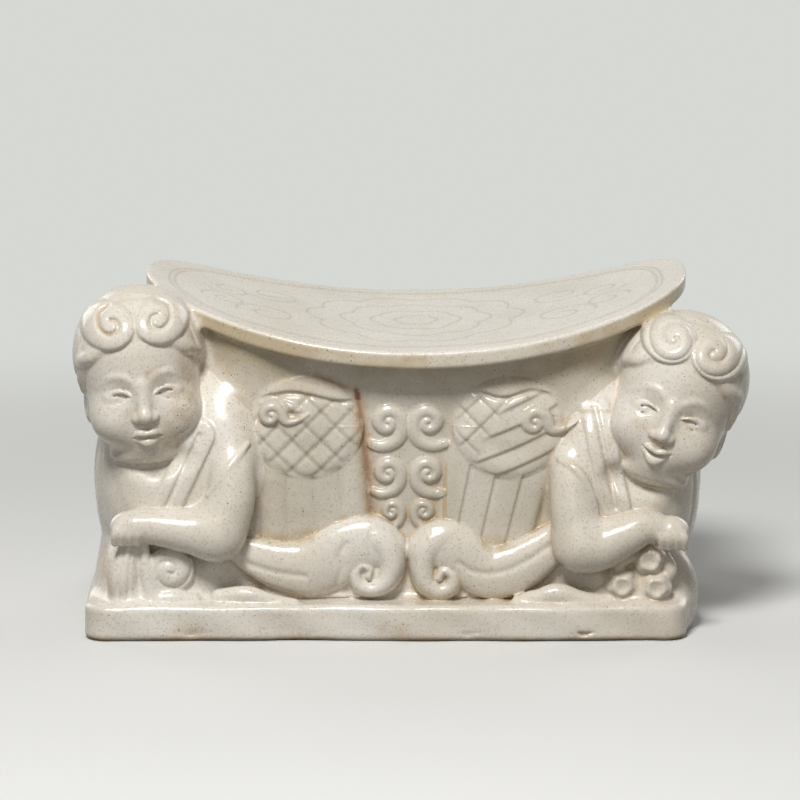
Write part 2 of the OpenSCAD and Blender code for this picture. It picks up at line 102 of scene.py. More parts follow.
# The headrest
rest_x = middle("headrest_slab")[0]
rest_half_l = (rest_box_high[0] - rest_box_low[0]) / 2
rest_half_d = (rest_box_high[1] - rest_box_low[1]) / 2
rest_gap = 25
rest_rise = 20
rest_t = 6.2
rest_pitch = math.radians(4)
rest_z = wall_top + rest_gap
saddle_r = (rest_half_l ** 2 + rest_rise ** 2) / (2 * rest_rise)
lip_w = 9

# How far a hidden root reaches into its neighbour, and how far round a piece or a cut the clay is worked
root = 3.0
margin = 7.0
cut_margin = 2.0


# Smooth joins of distances
def ramp(low, high, value):
    """0 below low, 1 above high and an even curve between."""
    t = np.clip((value - low) / (high - low), 0, 1)
    return t * t * (3 - 2 * t)


def join(a, b, soft):
    """The union of two distances, with a fillet about as wide as soft."""
    share = np.clip(0.5 + 0.5 * (b - a) / soft, 0, 1)
    return b + (a - b) * share - soft * share * (1 - share)


def meet(a, b, soft):
    """What two distances have in common, with a rounded edge."""
    return -join(-a, -b, soft)


def bell(value, width):
    """1 at zero, falling to about a third at width."""
    return np.exp(-(value / width) ** 2)


class Block:
    """Evenly spaced sample points in a box."""

    def __init__(self, x, y, z):
        self.x, self.y, self.z = x, y, z
        self.size = (len(x), len(y), len(z))

    def points(self):
        return self.x[:, None, None], self.y[None, :, None], self.z[None, None, :]

    def window(self, low, high):
        """Index spans of the samples inside a box, or None where there are none."""
        spans = []
        for axis, a, b in zip((self.x, self.y, self.z), low, high):
            start, stop = np.searchsorted(axis, (a, b))
            if stop - start < 2:
                return None
            spans.append(slice(int(start), int(stop)))
        return tuple(spans)

    def cut(self, spans):
        return Block(self.x[spans[0]], self.y[spans[1]], self.z[spans[2]])

    def full(self, value):
        return np.full(self.size, value, dtype=np.float32)


class Place:
    """A local frame: u to the viewer's right, v up, w towards the viewer."""

    def __init__(self, centre, yaw=0.0, nod=0.0, lean=0.0):
        u = np.array((1.0, 0.0, 0.0))
        v = np.array((0.0, 0.0, 1.0))
        w = np.array((0.0, -1.0, 0.0))
        yaw, nod, lean = np.radians((yaw, nod, lean))
        u, w = math.cos(yaw) * u - math.sin(yaw) * w, math.cos(yaw) * w + math.sin(yaw) * u
        v, w = math.cos(nod) * v + math.sin(nod) * w, math.cos(nod) * w - math.sin(nod) * v
        v, u = math.cos(lean) * v + math.sin(lean) * u, math.cos(lean) * u - math.sin(lean) * v
        self.centre = np.array(centre, dtype=float)
        self.axes = np.array((u, v, w))

    def local(self, block):
        x, y, z = block.points()
        c = self.centre.astype(np.float32)
        away = (x - c[0], y - c[1], z - c[2])
        return [sum(float(k) * a for k, a in zip(axis, away)) for axis in self.axes]

    def world(self, point):
        return self.centre + np.array(point, dtype=float) @ self.axes


# The frame's own axes
HERE = Place((0, 0, 0))
HERE.axes = np.eye(3)


def ellipsoid(u, v, w, centre, radii):
    """Nearly even distance to an ellipsoid."""
    a, b, c = [(t - m) / r for t, m, r in zip((u, v, w), centre, radii)]
    near = np.sqrt(a * a + b * b + c * c)
    steep = np.sqrt((a / radii[0]) ** 2 + (b / radii[1]) ** 2 + (c / radii[2]) ** 2)
    return (near - 1) * np.maximum(near, 0.05) / np.maximum(steep, 0.05 / max(radii))


def oval(a, b, half_a, half_b, power):
    """Nearly even distance to a rounded oblong of that half length and half width."""
    ua = np.maximum(np.abs(a) / half_a, 1e-4)
    ub = np.maximum(np.abs(b) / half_b, 1e-4)
    near = (ua ** power + ub ** power) ** (1 / power)
    steep = np.hypot((ua / near) ** (power - 1) / half_a, (ub / near) ** (power - 1) / half_b)
    return (near - 1) / np.maximum(steep, 1e-4)


def through(points, count):
    """A smooth curve through points: rows of coordinates, with a radius last where there is one."""
    points = np.array(points, dtype=float)
    ends = np.vstack((2 * points[0] - points[1], points, 2 * points[-1] - points[-2]))
    rows = []
    for i in range(len(points) - 1):
        p0, p1, p2, p3 = ends[i:i + 4]
        for t in np.arange(count) / count:
            rows.append(0.5 * (2 * p1 + (p2 - p0) * t + (2 * p0 - 5 * p1 + 4 * p2 - p3) * t ** 2
                               + (3 * p1 - p0 - 3 * p2 + p3) * t ** 3))
    rows.append(points[-1])
    return np.array(rows)


def stretch(places, start, end):
    """Distance to a straight stretch, and the share of it that lies before its nearest point."""
    along = np.subtract(end, start)
    t = sum((p - a) * d for p, a, d in zip(places, start, along)) / max(float(along @ along), 1e-9)
    t = np.clip(t, 0, 1)
    gap = np.sqrt(sum((p - a - t * d) ** 2 for p, a, d in zip(places, start, along)))
    return gap, t


class Sculpt:
    """Clay built up and cut back in one local frame."""

    def __init__(self, block, place=HERE, field=None):
        self.block = block
        self.place = place
        self.field = block.full(FAR) if field is None else field.astype(np.float32)

    def window(self, centres, reach, cut):
        world = np.array([self.place.world(c) for c in centres])
        reach = reach + (cut_margin if cut else margin)
        return self.block.window(world.min(axis=0) - reach, world.max(axis=0) + reach)

    def lay(self, spans, shape, soft, cut):
        clay = self.field[spans]
        self.field[spans] = meet(clay, -shape, soft) if cut else join(clay, shape, soft)

    def mass(self, centre, radii, soft=0.01, cut=False):
        """An ellipsoid joined on, or cut away."""
        spans = self.window([centre], max(radii) + soft, cut)
        if spans:
            shape = ellipsoid(*self.place.local(self.block.cut(spans)), centre, radii)
            self.lay(spans, shape, soft, cut)

    def roll(self, rows, soft=0.01, cut=False, count=5):
        """A round strand along a curve, joined on, or cut away as a crease."""
        rows = through(rows, count)
        spans = self.window(rows[:, :3], rows[:, 3].max() + soft, cut)
        if spans:
            places = self.place.local(self.block.cut(spans))
            shape = FAR
            for a, b in zip(rows[:-1], rows[1:]):
                gap, t = stretch(places, a[:3], b[:3])
                shape = np.minimum(shape, gap - (a[3] + t * (b[3] - a[3])))
            self.lay(spans, shape.astype(np.float32), soft, cut)


def coil(a, b, pitch, hand, start=0.0):
    """Rolls of a spiral round the origin: 0 in its groove, 1 on its ridge. hand +1 winds in anticlockwise."""
    turn = np.arctan2(b, a) / (2 * math.pi)
    part = (np.hypot(a, b) / pitch + hand * turn - start) % 1.0
    return np.maximum(1 - (2 * part - 1) ** 2, 0) ** 0.7


# Depth of a relief's root in the wall, and the steepest slope whose thickness is evened out
relief_root = 2
steepest = 3


def relief(block, height):
    """Clay raised from the front wall's face by a height at each place across it."""
    step = float(block.x[1] - block.x[0])
    slope_x, slope_z = np.gradient(height, step)
    lean = np.sqrt(1 + np.minimum(slope_x ** 2 + slope_z ** 2, steepest ** 2))
    y = block.y[None, :, None]
    front = ((face_y - height)[:, None, :] - y) / lean[:, None, :]
    return np.maximum(front, y - (face_y + relief_root)).astype(np.float32)


def across(block):
    """Places on the front wall's face."""
    return block.x[:, None].astype(np.float64), block.z[None, :].astype(np.float64)


def strand(x, z, rows, count=8):
    """Nearest point of a curve over the face: share of its radius, and the height given for it there."""
    rows = through(rows, count)
    best = np.full(np.broadcast(x, z).shape, FAR)
    height = np.zeros_like(best)
    for a, b in zip(rows[:-1], rows[1:]):
        gap, t = stretch((x, z), a[:2], b[:2])
        share = gap / (a[2] + t * (b[2] - a[2]))
        nearer = share < best
        best = np.where(nearer, share, best)
        height = np.where(nearer, a[3] + t * (b[3] - a[3]), height)
    return best, height


def dome(share, height, power=0.65):
    """A swelling that ends where share is 1, and drops behind the face outside it."""
    inside = np.maximum(1 - share ** 2, 0) ** power * height
    return np.where(share < 1, inside, -8 * np.minimum(share - 1, 0.4))


# The base and the hollow body
base_corner_r = 9
base_edge_r = 2.2
body_corner_r = 8
collar_foot = wall_top - 8

# Gashes along the base's front: place across and half length
GASHES = ((-77, 7.5), (-36, 5.5), (22, 4), (64, 3))
gash_z = 3.2

# Vent in the back wall
vent_r = 3
vent_z = 50


def rounded_plan(x, y, half_x, half_y, radius):
    """Distance in plan to an oblong with round corners."""
    qx = np.abs(x) - half_x + radius
    qy = np.abs(y) - half_y + radius
    return np.hypot(np.maximum(qx, 0), np.maximum(qy, 0)) + np.minimum(np.maximum(qx, qy), 0) - radius


def base_slab(block):
    x, y, z = block.points()
    centre = middle("base_slab")
    half = (base_high - base_low) / 2
    front = base_low[1]
    ripple = 0.35 * np.sin(x / 9 + 2) + 0.25 * np.sin(x / 5 + z / 3)
    sway = 0.5 * np.sin(x / 23) + ripple * bell(y - front, 20)
    rim = rounded_plan(x - centre[0], y + sway, half[0], half[1], base_corner_r) + base_edge_r
    level = np.abs(z - centre[2]) - half[2] + base_edge_r
    edge = np.hypot(np.maximum(rim, 0), np.maximum(level, 0)) + np.minimum(np.maximum(rim, level), 0)
    clay = Sculpt(block, field=edge - base_edge_r + 0 * z)
    for gash_x, gash_l in GASHES:
        gash = [(gash_x - gash_l, front, gash_z, 0.25), (gash_x - 1, front + 0.4, gash_z - 0.5, 0.6),
                (gash_x + gash_l, front, gash_z + 0.3, 0.25)]
        clay.roll(gash, soft=0.5, cut=True)
    return clay.field


def body_corner(z):
    """Corner radius of the body's plan, which grows as the collar rises."""
    return body_corner_r + 1.1 * np.clip(z - collar_foot, 0, 36)


def body(block):
    """The outside of the hollow body, coved out where it meets the base."""
    x, y, z = block.points()
    cove = 2.2 * np.clip((floor_z + 4 - z) / 4, 0, 1) ** 2
    plan = rounded_plan(x, y, body_half_l, body_half_d, body_corner(z)) - cove
    return np.maximum(plan, np.maximum(floor_z - 3 - z, z - wall_top)).astype(np.float32)


def front_wall(block):
    y = block.points()[1]
    return np.maximum(body(block), y - face_y - wall_t)


def back_wall(block):
    x, y, z = block.points()
    shell = np.maximum(body(block), back_low[1] - y)
    return meet(shell, vent_r - np.hypot(x, z - vent_z) + 0 * y, 1.2)


def end_wall(block, who):
    x = block.points()[0]
    return np.maximum(body(block), body_half_l - wall_t - who.side * x)


# The headrest and the flared collar under it
def saddle(x, y):
    """Height of the headrest's top."""
    dip = saddle_r - np.sqrt(np.maximum(saddle_r ** 2 - (x - rest_x) ** 2, 1))
    return rest_z + dip + y * math.tan(rest_pitch)


def rest_plan(x, y, inset=0.0):
    """Distance in plan to the headrest's outline, more pointed at its left end."""
    power = 2.4 + 0.25 * ramp(-60, 60, x - rest_x)
    return oval(x - rest_x, y, rest_half_l - inset, rest_half_d - inset, power)


def headrest_slab(block):
    x, y, z = block.points()
    plan = rest_plan(x, y)
    middle = saddle(x, y) - rest_t / 2
    flat = 1 / np.sqrt(1 + ((x - rest_x) / saddle_r) ** 2)
    level = np.abs(z - middle) * flat - rest_t / 2
    level = level + 0.5 * drawing(block)[:, :, None] * (z > middle)
    return meet(plan + 0 * z, level, 1.8).astype(np.float32)


def headrest_collar(block):
    x, y, z = block.points()
    under = saddle(x, y) - rest_t
    flare = np.clip((z - collar_foot) / (under - collar_foot), 0, 1.15) ** 2
    half_l = body_half_l + (rest_half_l - 0.7 * lip_w - body_half_l) * flare
    half_d = body_half_d + (rest_half_d - 1.2 * lip_w - body_half_d) * flare
    tuck = 0.6 * ramp(wall_top, collar_foot + 4, z)
    outer = 0.85 * rounded_plan(x - rest_x * flare, y, half_l, half_d, body_corner(z)) + tuck
    shell = np.maximum(outer, -outer - wall_t)
    ends = np.maximum(collar_foot + 4 - z, z - under - rest_t / 2)
    return np.maximum(shell, ends).astype(np.float32)


# Lines cut into the headrest's top: a border and a flower with scrolling stems
line_w = 0.5
line_deep = 0.3
border_in = (8.5, 10.5)
flower_r = (7, 15, 25, 36)
flower_lobes = (6, 6, 8, 10)

# Scrolls beside the flower: place out and back from its middle, and size
STEMS = ((54, 17, 12), (70, 9, 9))


def stem_rows():
    """Scrolls either side of the flower, in plan."""
    rows = []
    for side in (-1, 1):
        for flank in (-1, 1):
            for out, deep, size in STEMS:
                turns = np.linspace(0, 1, 40)
                angle = math.radians(200) + flank * turns * 2.6 * math.pi
                swing = size * (1 - 0.75 * turns)
                rows.append(np.column_stack((rest_x + side * (out - swing * np.cos(angle)),
                                             flank * deep + swing * np.sin(angle))))
    return rows


def drawing(block):
    """Depth of the cut lines at each place in plan."""
    x = block.x[:, None].astype(np.float64)
    y = block.y[None, :].astype(np.float64)
    nearest = np.full((len(block.x), len(block.y)), FAR)
    plan = rest_plan(x, y)
    for inset in border_in:
        nearest = np.minimum(nearest, np.abs(plan + inset))
    turn = np.arctan2(y, x - rest_x)
    reach = np.hypot(x - rest_x, y)
    for size, lobes in zip(flower_r, flower_lobes):
        edge = size * (1 + 0.12 * np.abs(np.cos(lobes / 2 * turn)))
        nearest = np.minimum(nearest, np.abs(reach - edge))
    for row in stem_rows():
        for a, b in zip(row[:-1], row[1:]):
            nearest = np.minimum(nearest, stretch((x, y), a, b)[0])
    return line_deep * bell(nearest, line_w)


# The two winged figures
class Figure:
    """Where a figure sits, how its head is turned, and how far its shoulder drops below the robe's top."""

    def __init__(self, name, side, inward, drop, yaw, nod, lean, smile, lids):
        self.name = name
        self.side = side
        self.smile = smile
        self.lids = lids
        head_x, _, head_z = middle(name + "_head")
        self.place = Place((head_x - side * inward, head_y, head_z), yaw=yaw, nod=nod, lean=lean)
        self.trunk_x = outer_end(name + "_torso", side) - side * trunk_w
        self.flank_x = outer_end("base_slab", side)
        self.shoulder_z = node_box(name + "_torso")[1][2] - drop


# Their heads' depth, robed trunks, the neck from which the folds spread, and the lapels
head_y = -38
trunk_w = 24.4
trunk_y = -8.5
trunk_d = 42.5
trunk_z = 51.7
trunk_h = 43.8
neck_y = -30
neck_z = 88
fold_turn = 0.36
lapel_w = 11
lapel_proud = 1.4
LEFT = Figure("left", -1, inward=2.5, drop=19.5, yaw=4, nod=0, lean=-6, smile=-0.3, lids=0.9)
RIGHT = Figure("right", 1, inward=1.5, drop=23.5, yaw=-6, nod=-4, lean=19, smile=1.0, lids=0.3)

# A child's head, from its centre: the skull, the lower face and the heights of the features
skull_v = 7.5
skull_r = (21.5, 23, 22.5)
jaw_v = -9
jaw_w = 1
jaw_r = (19.8, 22.6, 20.8)
jaw_soft = 7
eye_v = -5.5
eye_u = 8.9
nose_v = -12.4
mouth_v = -20.2
mouth_w = 5.3
ear_u = 0.92 * skull_r[0]


def bulge(u, v, radii):
    """How far an ellipsoid stands out in front of its centre."""
    return radii[2] * math.sqrt(max(1 - (u / radii[0]) ** 2 - (v / radii[1]) ** 2, 0.05))


def on_face(rows, s=1):
    """Places and radii over the smooth face from rows of across, up, lift off the face and radius."""
    out = []
    for u, v, lift, radius in rows:
        skull = bulge(u, v - skull_v, skull_r)
        jaw = jaw_w + bulge(u, v - jaw_v, jaw_r)
        out.append((s * u, v, -float(join(-skull, -jaw, jaw_soft)) + lift, radius))
    return out


def face_point(u, v, lift):
    return on_face([(u, v, lift, 0)])[0][:3]


def head(block, who):
    clay = Sculpt(block, who.place)
    clay.mass((0, skull_v, 0), skull_r)
    clay.mass((0, jaw_v, jaw_w), jaw_r, soft=jaw_soft)
    # Chin, throat and muzzle, then each cheek, eye and hollowed ear
    clay.mass((0, -25.2, 12.0), (7.0, 3.4, 5.4), soft=4)
    clay.mass((0, -28.4, 3.5), (14.5, 4.4, 11), soft=4.5)
    clay.mass((0, mouth_v + 0.5, 14.2), (8.5, 5.2, 5.4), soft=3.5)
    for s in (-1, 1):
        clay.mass((10.6 * s, -13.8, 10.8), (8.8, 9, 9.8), soft=5)
        eye(clay, who, s)
        clay.mass((ear_u * s, -10, -4.5), (2.6, 7.4, 4.6), soft=1.6)
        clay.mass(((ear_u + 2.4) * s, -9, -3), (1.4, 4.6, 2.6), soft=1.4, cut=True)
    nose(clay)
    mouth(clay, who.smile)
    return clay.field


def eye(clay, who, s):
    """A thin arched brow, and an almond eye between two lids, in rows from the eye's middle."""
    def strip(rows, soft, cut=False):
        placed = [(eye_u + u, eye_v + v, lift, radius) for u, v, lift, radius in rows]
        clay.roll(on_face(placed, s), soft=soft, cut=cut)

    rise = 1.1 + who.lids
    clay.mass(face_point((eye_u + 0.8) * s, eye_v + 1.2, 4.9), (6.8, 4.2, 5.0), soft=2.0, cut=True)
    brow = [(-5.1, 6.0, -0.5, 0.6), (-2.5, 7.5, -0.45, 0.9), (1.5, 7.2, -0.45, 0.9), (6.5, 3.4, -0.7, 0.6)]
    strip(brow, 1.5)
    clay.mass(face_point(eye_u * s, eye_v - 0.2, -3.4), (5.4, 3.5, 3.7), soft=0.8)
    lid = [(-5.0, 0.1, -0.6, 0.35), (-1.7, rise + 0.2, 0.3, 0.6), (1.9, rise - 0.6, 0.25, 0.6),
           (5.5, -2.4, -0.8, 0.35)]
    strip(lid, 0.5)
    under = [(-4.5, -0.8, -0.6, 0.35), (0, -2.8, 0.0, 0.5), (4.9, -3.0, -0.8, 0.35)]
    strip(under, 0.6)
    line = [(-4.2, -0.2, -0.1, 0.3), (-1.5, rise - 0.8, 0.5, 0.4), (1.8, rise - 1.6, 0.45, 0.4),
            (4.7, -2.6, -0.3, 0.3)]
    strip(line, 0.4, cut=True)
    below = [(-3.2, -1.1, 0.1, 0.3), (0, -2.1, 0.35, 0.35), (3.4, -2.7, 0.0, 0.3)]
    strip(below, 0.4, cut=True)


def nose(clay):
    bridge = [(0, eye_v + 3.4, -0.7, 1.5), (0, eye_v - 2.4, 0.6, 1.7), (0, nose_v, 1.7, 2.2)]
    clay.roll(on_face(bridge), soft=3.2)
    clay.mass(face_point(0, nose_v - 0.3, 1.8), (2.6, 2.1, 2.2), soft=1.5)
    for s in (-1, 1):
        clay.mass(face_point(2.7 * s, nose_v - 1.0, 0.6), (2.0, 1.7, 2.0), soft=1.2)
        clay.mass(face_point(1.7 * s, nose_v - 2.8, 1.7), (0.8, 0.5, 0.9), soft=0.7, cut=True)


def mirrored(rows):
    """Rows from the middle out, with their mirror image before them."""
    return [(-row[0],) + row[1:] for row in rows[:0:-1]] + rows


def mouth(clay, smile):
    """Two full lips, parted by a line that rises with the smile."""
    up = 1.5 * smile
    part = 0.42 + 0.12 * smile
    groove = [(0, nose_v - 3.6, 0.9, 0.4), (0, mouth_v + 3, 1.8, 0.5)]
    clay.roll(on_face(groove), soft=1.4, cut=True)
    upper = [(0.5, mouth_v + 1.1, 1.9, 1.1), (2.6, mouth_v + 1.4 + 0.3 * up, 1.7, 1.15),
             (mouth_w, mouth_v + up, 0.3, 0.5)]
    for s in (-1, 1):
        clay.roll(on_face(upper, s), soft=0.6)
    lower = [(0, mouth_v - 2.3, 2.0, 1.9), (3.6, mouth_v - 1.1 + 0.6 * up, 1.0, 0.9)]
    clay.roll(on_face(mirrored(lower)), soft=0.5)
    line = [(0, mouth_v - 0.2, 2.8, part), (2.6, mouth_v + 0.1 + 0.2 * up, 2.5, part),
            (mouth_w, mouth_v + up, 1.0, 0.25)]
    clay.roll(on_face(mirrored(line)), soft=0.6, cut=True)


# Hair: a smooth cap with a grooved band, temple locks and two curled forelocks
cap_up = 6.5
cap_back = -1.5
cap_r = (24.2, 25.4, 24.4)
hairline_v = 1.0
hairline_rake = 0.62
lobe_u = 9.6
lobe_v = 20.0
lobe_r = (10.4, 8.6)
curl_pitch = 5.4
HOOK = [(8.4, 27.0), (12.2, 24.6), (12.6, 20.0), (9.4, 17.4), (6.2, 18.8), (6.2, 21.6), (8.2, 22.2)]


def cap(u, v, w):
    shape = ellipsoid(u, v, w, (0, cap_up, cap_back), cap_r)
    ring = np.hypot(u / cap_r[0], (v - cap_up) / cap_r[1])
    return shape + 0.55 * bell(ring - 0.86, 0.025) * ramp(6, 14, v) * ramp(-4, 4, w)


def hair(block, who):
    u, v, w = who.place.local(block)
    lean = 1 / math.hypot(1, hairline_rake)
    line = (hairline_v + hairline_rake * w - v) * lean
    clay = Sculpt(block, who.place, meet(cap(u, v, w), line, 2.2))
    for s in (-1, 1):
        lock = [(9.0 * s, 13.8, 18.2, 1.6), (16.2 * s, 9.2, 14.6, 2.0), (20.2 * s, 7.4, 8.5, 1.8)]
        clay.roll(lock, soft=2.6)
    tress = [(20.4 * who.side, 6, 8.0, 1.8), (21.4 * who.side, 1, 4.5, 1.8), (21.0 * who.side, -4, 1.0, 1.5)]
    clay.roll(tress, soft=1.6)
    return clay.field


def forelocks(block, who):
    u, v, w = who.place.local(block)
    surface = ellipsoid(u, v, w, (0, cap_up, cap_back), cap_r)
    both = FAR
    for s in (-1, 1):
        share = np.hypot((u - lobe_u * s) / lobe_r[0], (v - lobe_v) / lobe_r[1])
        swell = 2.4 * np.maximum(1 - share ** 4, 0) ** 0.6
        if who.side > 0:
            rolls = coil(u - 7.6 * s, v - 21.2, curl_pitch, -s, 0.25 if s < 0 else 0.75)
            swell = swell + 1.1 * (rolls - 0.5) * (share < 1)
        else:
            near, _ = strand(u, v, [(s * hu, hv, 1.0, 0.0) for hu, hv in HOOK], 4)
            swell = swell - 1.2 * bell(near, 0.85)
        shape = meet(surface - swell, (share - 1) * min(lobe_r), 1.6)
        both = np.minimum(both, shape)
    return np.maximum(both, -w).astype(np.float32)


# Robed body, arm and hand of each figure
def torso_sculpt(block, who):
    """The trunk, chest, shoulder, robe skirt, lap and flank in that order, hollowed under the chin."""
    s = who.side
    z = who.shoulder_z
    clay = Sculpt(block)
    clay.mass((who.trunk_x, trunk_y, trunk_z), (trunk_w, trunk_d, trunk_h))
    clay.mass((who.trunk_x - 12 * s, -36, z - 15), (21, 15.5, 24), soft=7)
    shoulder = [(61 * s, -40, z - 16, 10.5), (64.5 * s, -40, z - 3, 11.5), (70 * s, -34, z + 8, 11),
                (74 * s, -24, z + 15, 9)]
    clay.roll(shoulder, soft=7, count=12)
    clay.mass((who.flank_x - 24 * s, trunk_y, floor_z), (22.5, trunk_d, 33), soft=4)
    clay.mass((who.trunk_x - 4 * s, -32, floor_z), (26.5, 18.5, 25), soft=4)
    clay.mass((who.flank_x - 17 * s, -12, floor_z), (15.5, 41, 28), soft=4)
    chin_x, _, chin_z = who.place.world((0, -29, 12))
    clay.mass((chin_x, -55, chin_z), (17, 9, 8), soft=4, cut=True)
    return clay.field


def folds(block, who):
    """Soft folds of the robe that spread from the neck down the side and the back."""
    x, y, z = block.points()
    turn = np.arctan2(neck_z - z, y - neck_y)
    reach = np.hypot(neck_z - z, y - neck_y)
    share = (turn / fold_turn + 0.0018 * reach) % 1
    fall = ramp(16, 34, reach) * ramp(96, 78, reach) * ramp(0.1, 0.35, turn) * ramp(2.1, 1.6, turn)
    return 0.9 * bell(share - 0.5, 0.13) * fall * ramp(4, 12, who.side * (x - who.trunk_x))


def torso(block, who):
    return np.maximum(torso_sculpt(block, who) + folds(block, who), -(body(block) + root))


# Each arm as rows of place and radius: from the shoulder to the elbow, and from there to the wrist
UPPER_ARM = {
    LEFT: [(-62.5, -44, 69, 8.0), (-63.3, -49, 60, 8.2), (-63.6, -50.6, 52, 8.6), (-66, -51.2, 44.7, 9.4),
           (-69, -51.6, 38.8, 10.2)],
    RIGHT: [(58, -44, 65, 7.2), (58.6, -49, 58, 7.5), (59, -50.6, 50, 7.9), (60, -51.2, 43, 8.6),
            (62.5, -51.6, 34.7, 10)]}
FOREARM = {
    LEFT: [(-78.5, -53.2, 39.7, 8.2), (-88.3, -54, 41.1, 7), (-97, -54, 41.8, 6.0)],
    RIGHT: [(69, -53, 34.4, 9), (76, -54, 37.4, 7.6), (84, -54, 41, 6.3), (88, -53.6, 41, 6.0)]}


def arm(block, who):
    clay = Sculpt(block)
    clay.roll(UPPER_ARM[who], count=16)
    clay.roll(UPPER_ARM[who][-1:] + FOREARM[who], soft=3, count=16)
    return clay.field


def hand(block, who):
    clay = Sculpt(block)
    s = who.side
    out = outer_end(who.name + "_hand", s)
    top = node_box(who.name + "_hand")[1][2]
    clay.mass((out - 6.0 * s, -54, top - 5.4), (6.8, 5.7, 5.8))
    for i in range(4):
        knuckle = out - (1.6 + 2.7 * i) * s
        finger = [(knuckle - 1.5 * s, -57.4, top - 4.0, 1.5), (knuckle, -58.6, top - 7.0, 1.6),
                  (knuckle + 0.3 * s, -57.0, top - 10.6, 1.5)]
        clay.roll(finger, soft=1.1)
    return clay.field


# The lapel's fold line across and up, and the sleeve's edge as rows of place and radius
LAPEL = {LEFT: ((-74.5, 74), (-88, 45)), RIGHT: ((67, 83), (74.5, 48))}
SLEEVE = {
    LEFT: [(-57, -50.6, 71, 0.8), (-62.8, -54.9, 64, 1.6), (-67, -55.6, 58.4, 1.6), (-71.4, -55.4, 53, 0.9)],
    RIGHT: [(54, -51.6, 65.4, 0.8), (60.2, -54.9, 61.8, 1.6), (65, -54.6, 54, 1.5), (67.4, -53.3, 46.5, 0.9)]}


def robe_bands(block, who):
    """A broad lapel folded along its middle, and the sleeve's edge, which follow the robe."""
    robe = torso_sculpt(block, who)
    x, y, z = block.points()
    away = stretch((x, z), *LAPEL[who])[0] + 0 * y
    proud = lapel_proud * (1 - 0.8 * bell(away, 0.9))
    lapel = meet(robe - proud, away - lapel_w / 2, 1.4)
    clay = Sculpt(block, field=np.maximum(lapel, y + 20))
    clay.roll(SLEEVE[who], soft=1.5, count=10)
    return clay.field


# Wings on the front wall: a round covert, long feathers and a scroll
covert_half = 20.6
scale_w = 10.4


def covert_at(who):
    x, _, z = middle(who.name + "_wing_shoulder")
    return x + 0.4 * who.side, z + 0.8


def scales(x, z):
    """Lapped diamond scales: each stands proud at its lower tip, with worn grooves between."""
    total = 0
    for shift in (-0.5, 0, 0.5):
        one = ((x + z + shift) / scale_w) % 1
        two = ((z - x + shift) / scale_w) % 1
        total = total + 0.5 - 0.5 * (one + two)
        for part in (one, two):
            total = total - 0.3 * bell(np.minimum(part, 1 - part), 0.11)
    return total / 3


def wing_shoulder(block, who):
    x, z = across(block)
    cx, cz = covert_at(who)
    a = (x - cx) / covert_half
    b = (z - cz) / (0.95 * covert_half)
    share = np.hypot(a, b)
    height = dome(share, 4.4, 0.5 + 0.3 * ramp(-0.1, 0.5, b))
    height = height + 1.5 * ramp(0.15, -0.25, b) * ramp(1.02, 0.98, share) * ramp(0.4, 0.9, share)
    inner = ramp(0.97, 0.90, share)
    if who.side < 0:
        line = 0.52 + 0.08 * np.cos(3.4 * (a + 0.25))
        pattern = 1.15 * scales(x - cx, z - cz)
    else:
        line = 0.58 + 0.06 * np.cos(6 * (a + 0.65))
        part = ((b - 0.45 * a - 0.08 * a * a) * 2.6) % 1
        bars = 1.15 * (0.5 - part + ramp(0.74, 1, part))
        nook = ramp(-0.15, -0.4, a - 0.5 * b)
        pattern = bars * (1 - nook) + 1.15 * scales(x - cx, z - cz) * nook
    above = ramp(line - 0.03, line + 0.06, b)
    height = height + 0.9 * above * inner - 0.7 * bell(b - line, 0.05) * inner + pattern * (1 - above) * inner
    if who.side < 0:
        u, v = x - cx + 8.0, z - cz - 7.4
        leaf = np.hypot((u + 0.3 * v) / 6.2, (v + 0.22 * u) / 2.0)
        height = height + np.maximum(1 - leaf ** 2, 0) ** 0.5
    return relief(block, height)


# Side edges of the long feathers: place across, lean, and the height at which the edge is there
FEATHER_EDGES = {LEFT: ((-53.0, 0.0, 73), (-16.6, 0.115, 73)), RIGHT: ((14.5, -0.18, 69), (52.5, -0.27, 62))}


def wing_feathers(block, who):
    x, z = across(block)
    cz = covert_at(who)[1]
    left, right = [at + lean * (level - z) for at, lean, level in FEATHER_EDGES[who]]
    share = (x - left) / (right - left)
    edge = np.abs(2 * share - 1)
    vane = (share * 4) % 1
    if who.side < 0:
        ridge = 0.6 * np.sin(math.pi * vane)
    else:
        ridge = 0.7 * (vane - ramp(0.86, 1, vane))
    ridge = ridge - 0.25 * bell(np.minimum(vane, 1 - vane), 0.1)
    raised = (2.3 + ridge) * np.maximum(1 - edge ** 10, 0) ** 0.7
    height = np.where(edge < 1, raised, -30 * np.minimum(edge - 1, 0.08))
    return relief(block, np.where(z > cz, -relief_root, height))


def curl(x, z, centre, size, side, tail):
    """Share and height of a roll that winds out from its centre into a tail. Side +1 mirrors it."""
    rows = []
    for t in np.linspace(0, 1, 12):
        angle = (1 - t) * 1.2 * 2 * math.pi
        reach = size * (0.1 + 0.6 * t)
        rows.append((reach * math.cos(angle), reach * math.sin(angle), size * (0.25 + 0.15 * t), 1.0))
    for tail_x, tail_z, radius, high in tail:
        rows.append((size * tail_x, size * tail_z, size * radius, high))
    return strand(-side * (x - centre[0]), z - centre[1], rows, 3)


# Each scroll's shift and size, and its tail in shares of the size: across, up, radius and height
SCROLL = {LEFT: (-1.2, 0, 5.8), RIGHT: (-2.4, -2.5, 6.6)}
SCROLL_TAIL = ((0.95, -0.38, 0.32, 1.0), (1.6, -0.3, 0.26, 0.9), (2.3, 0.1, 0.14, 0.7))


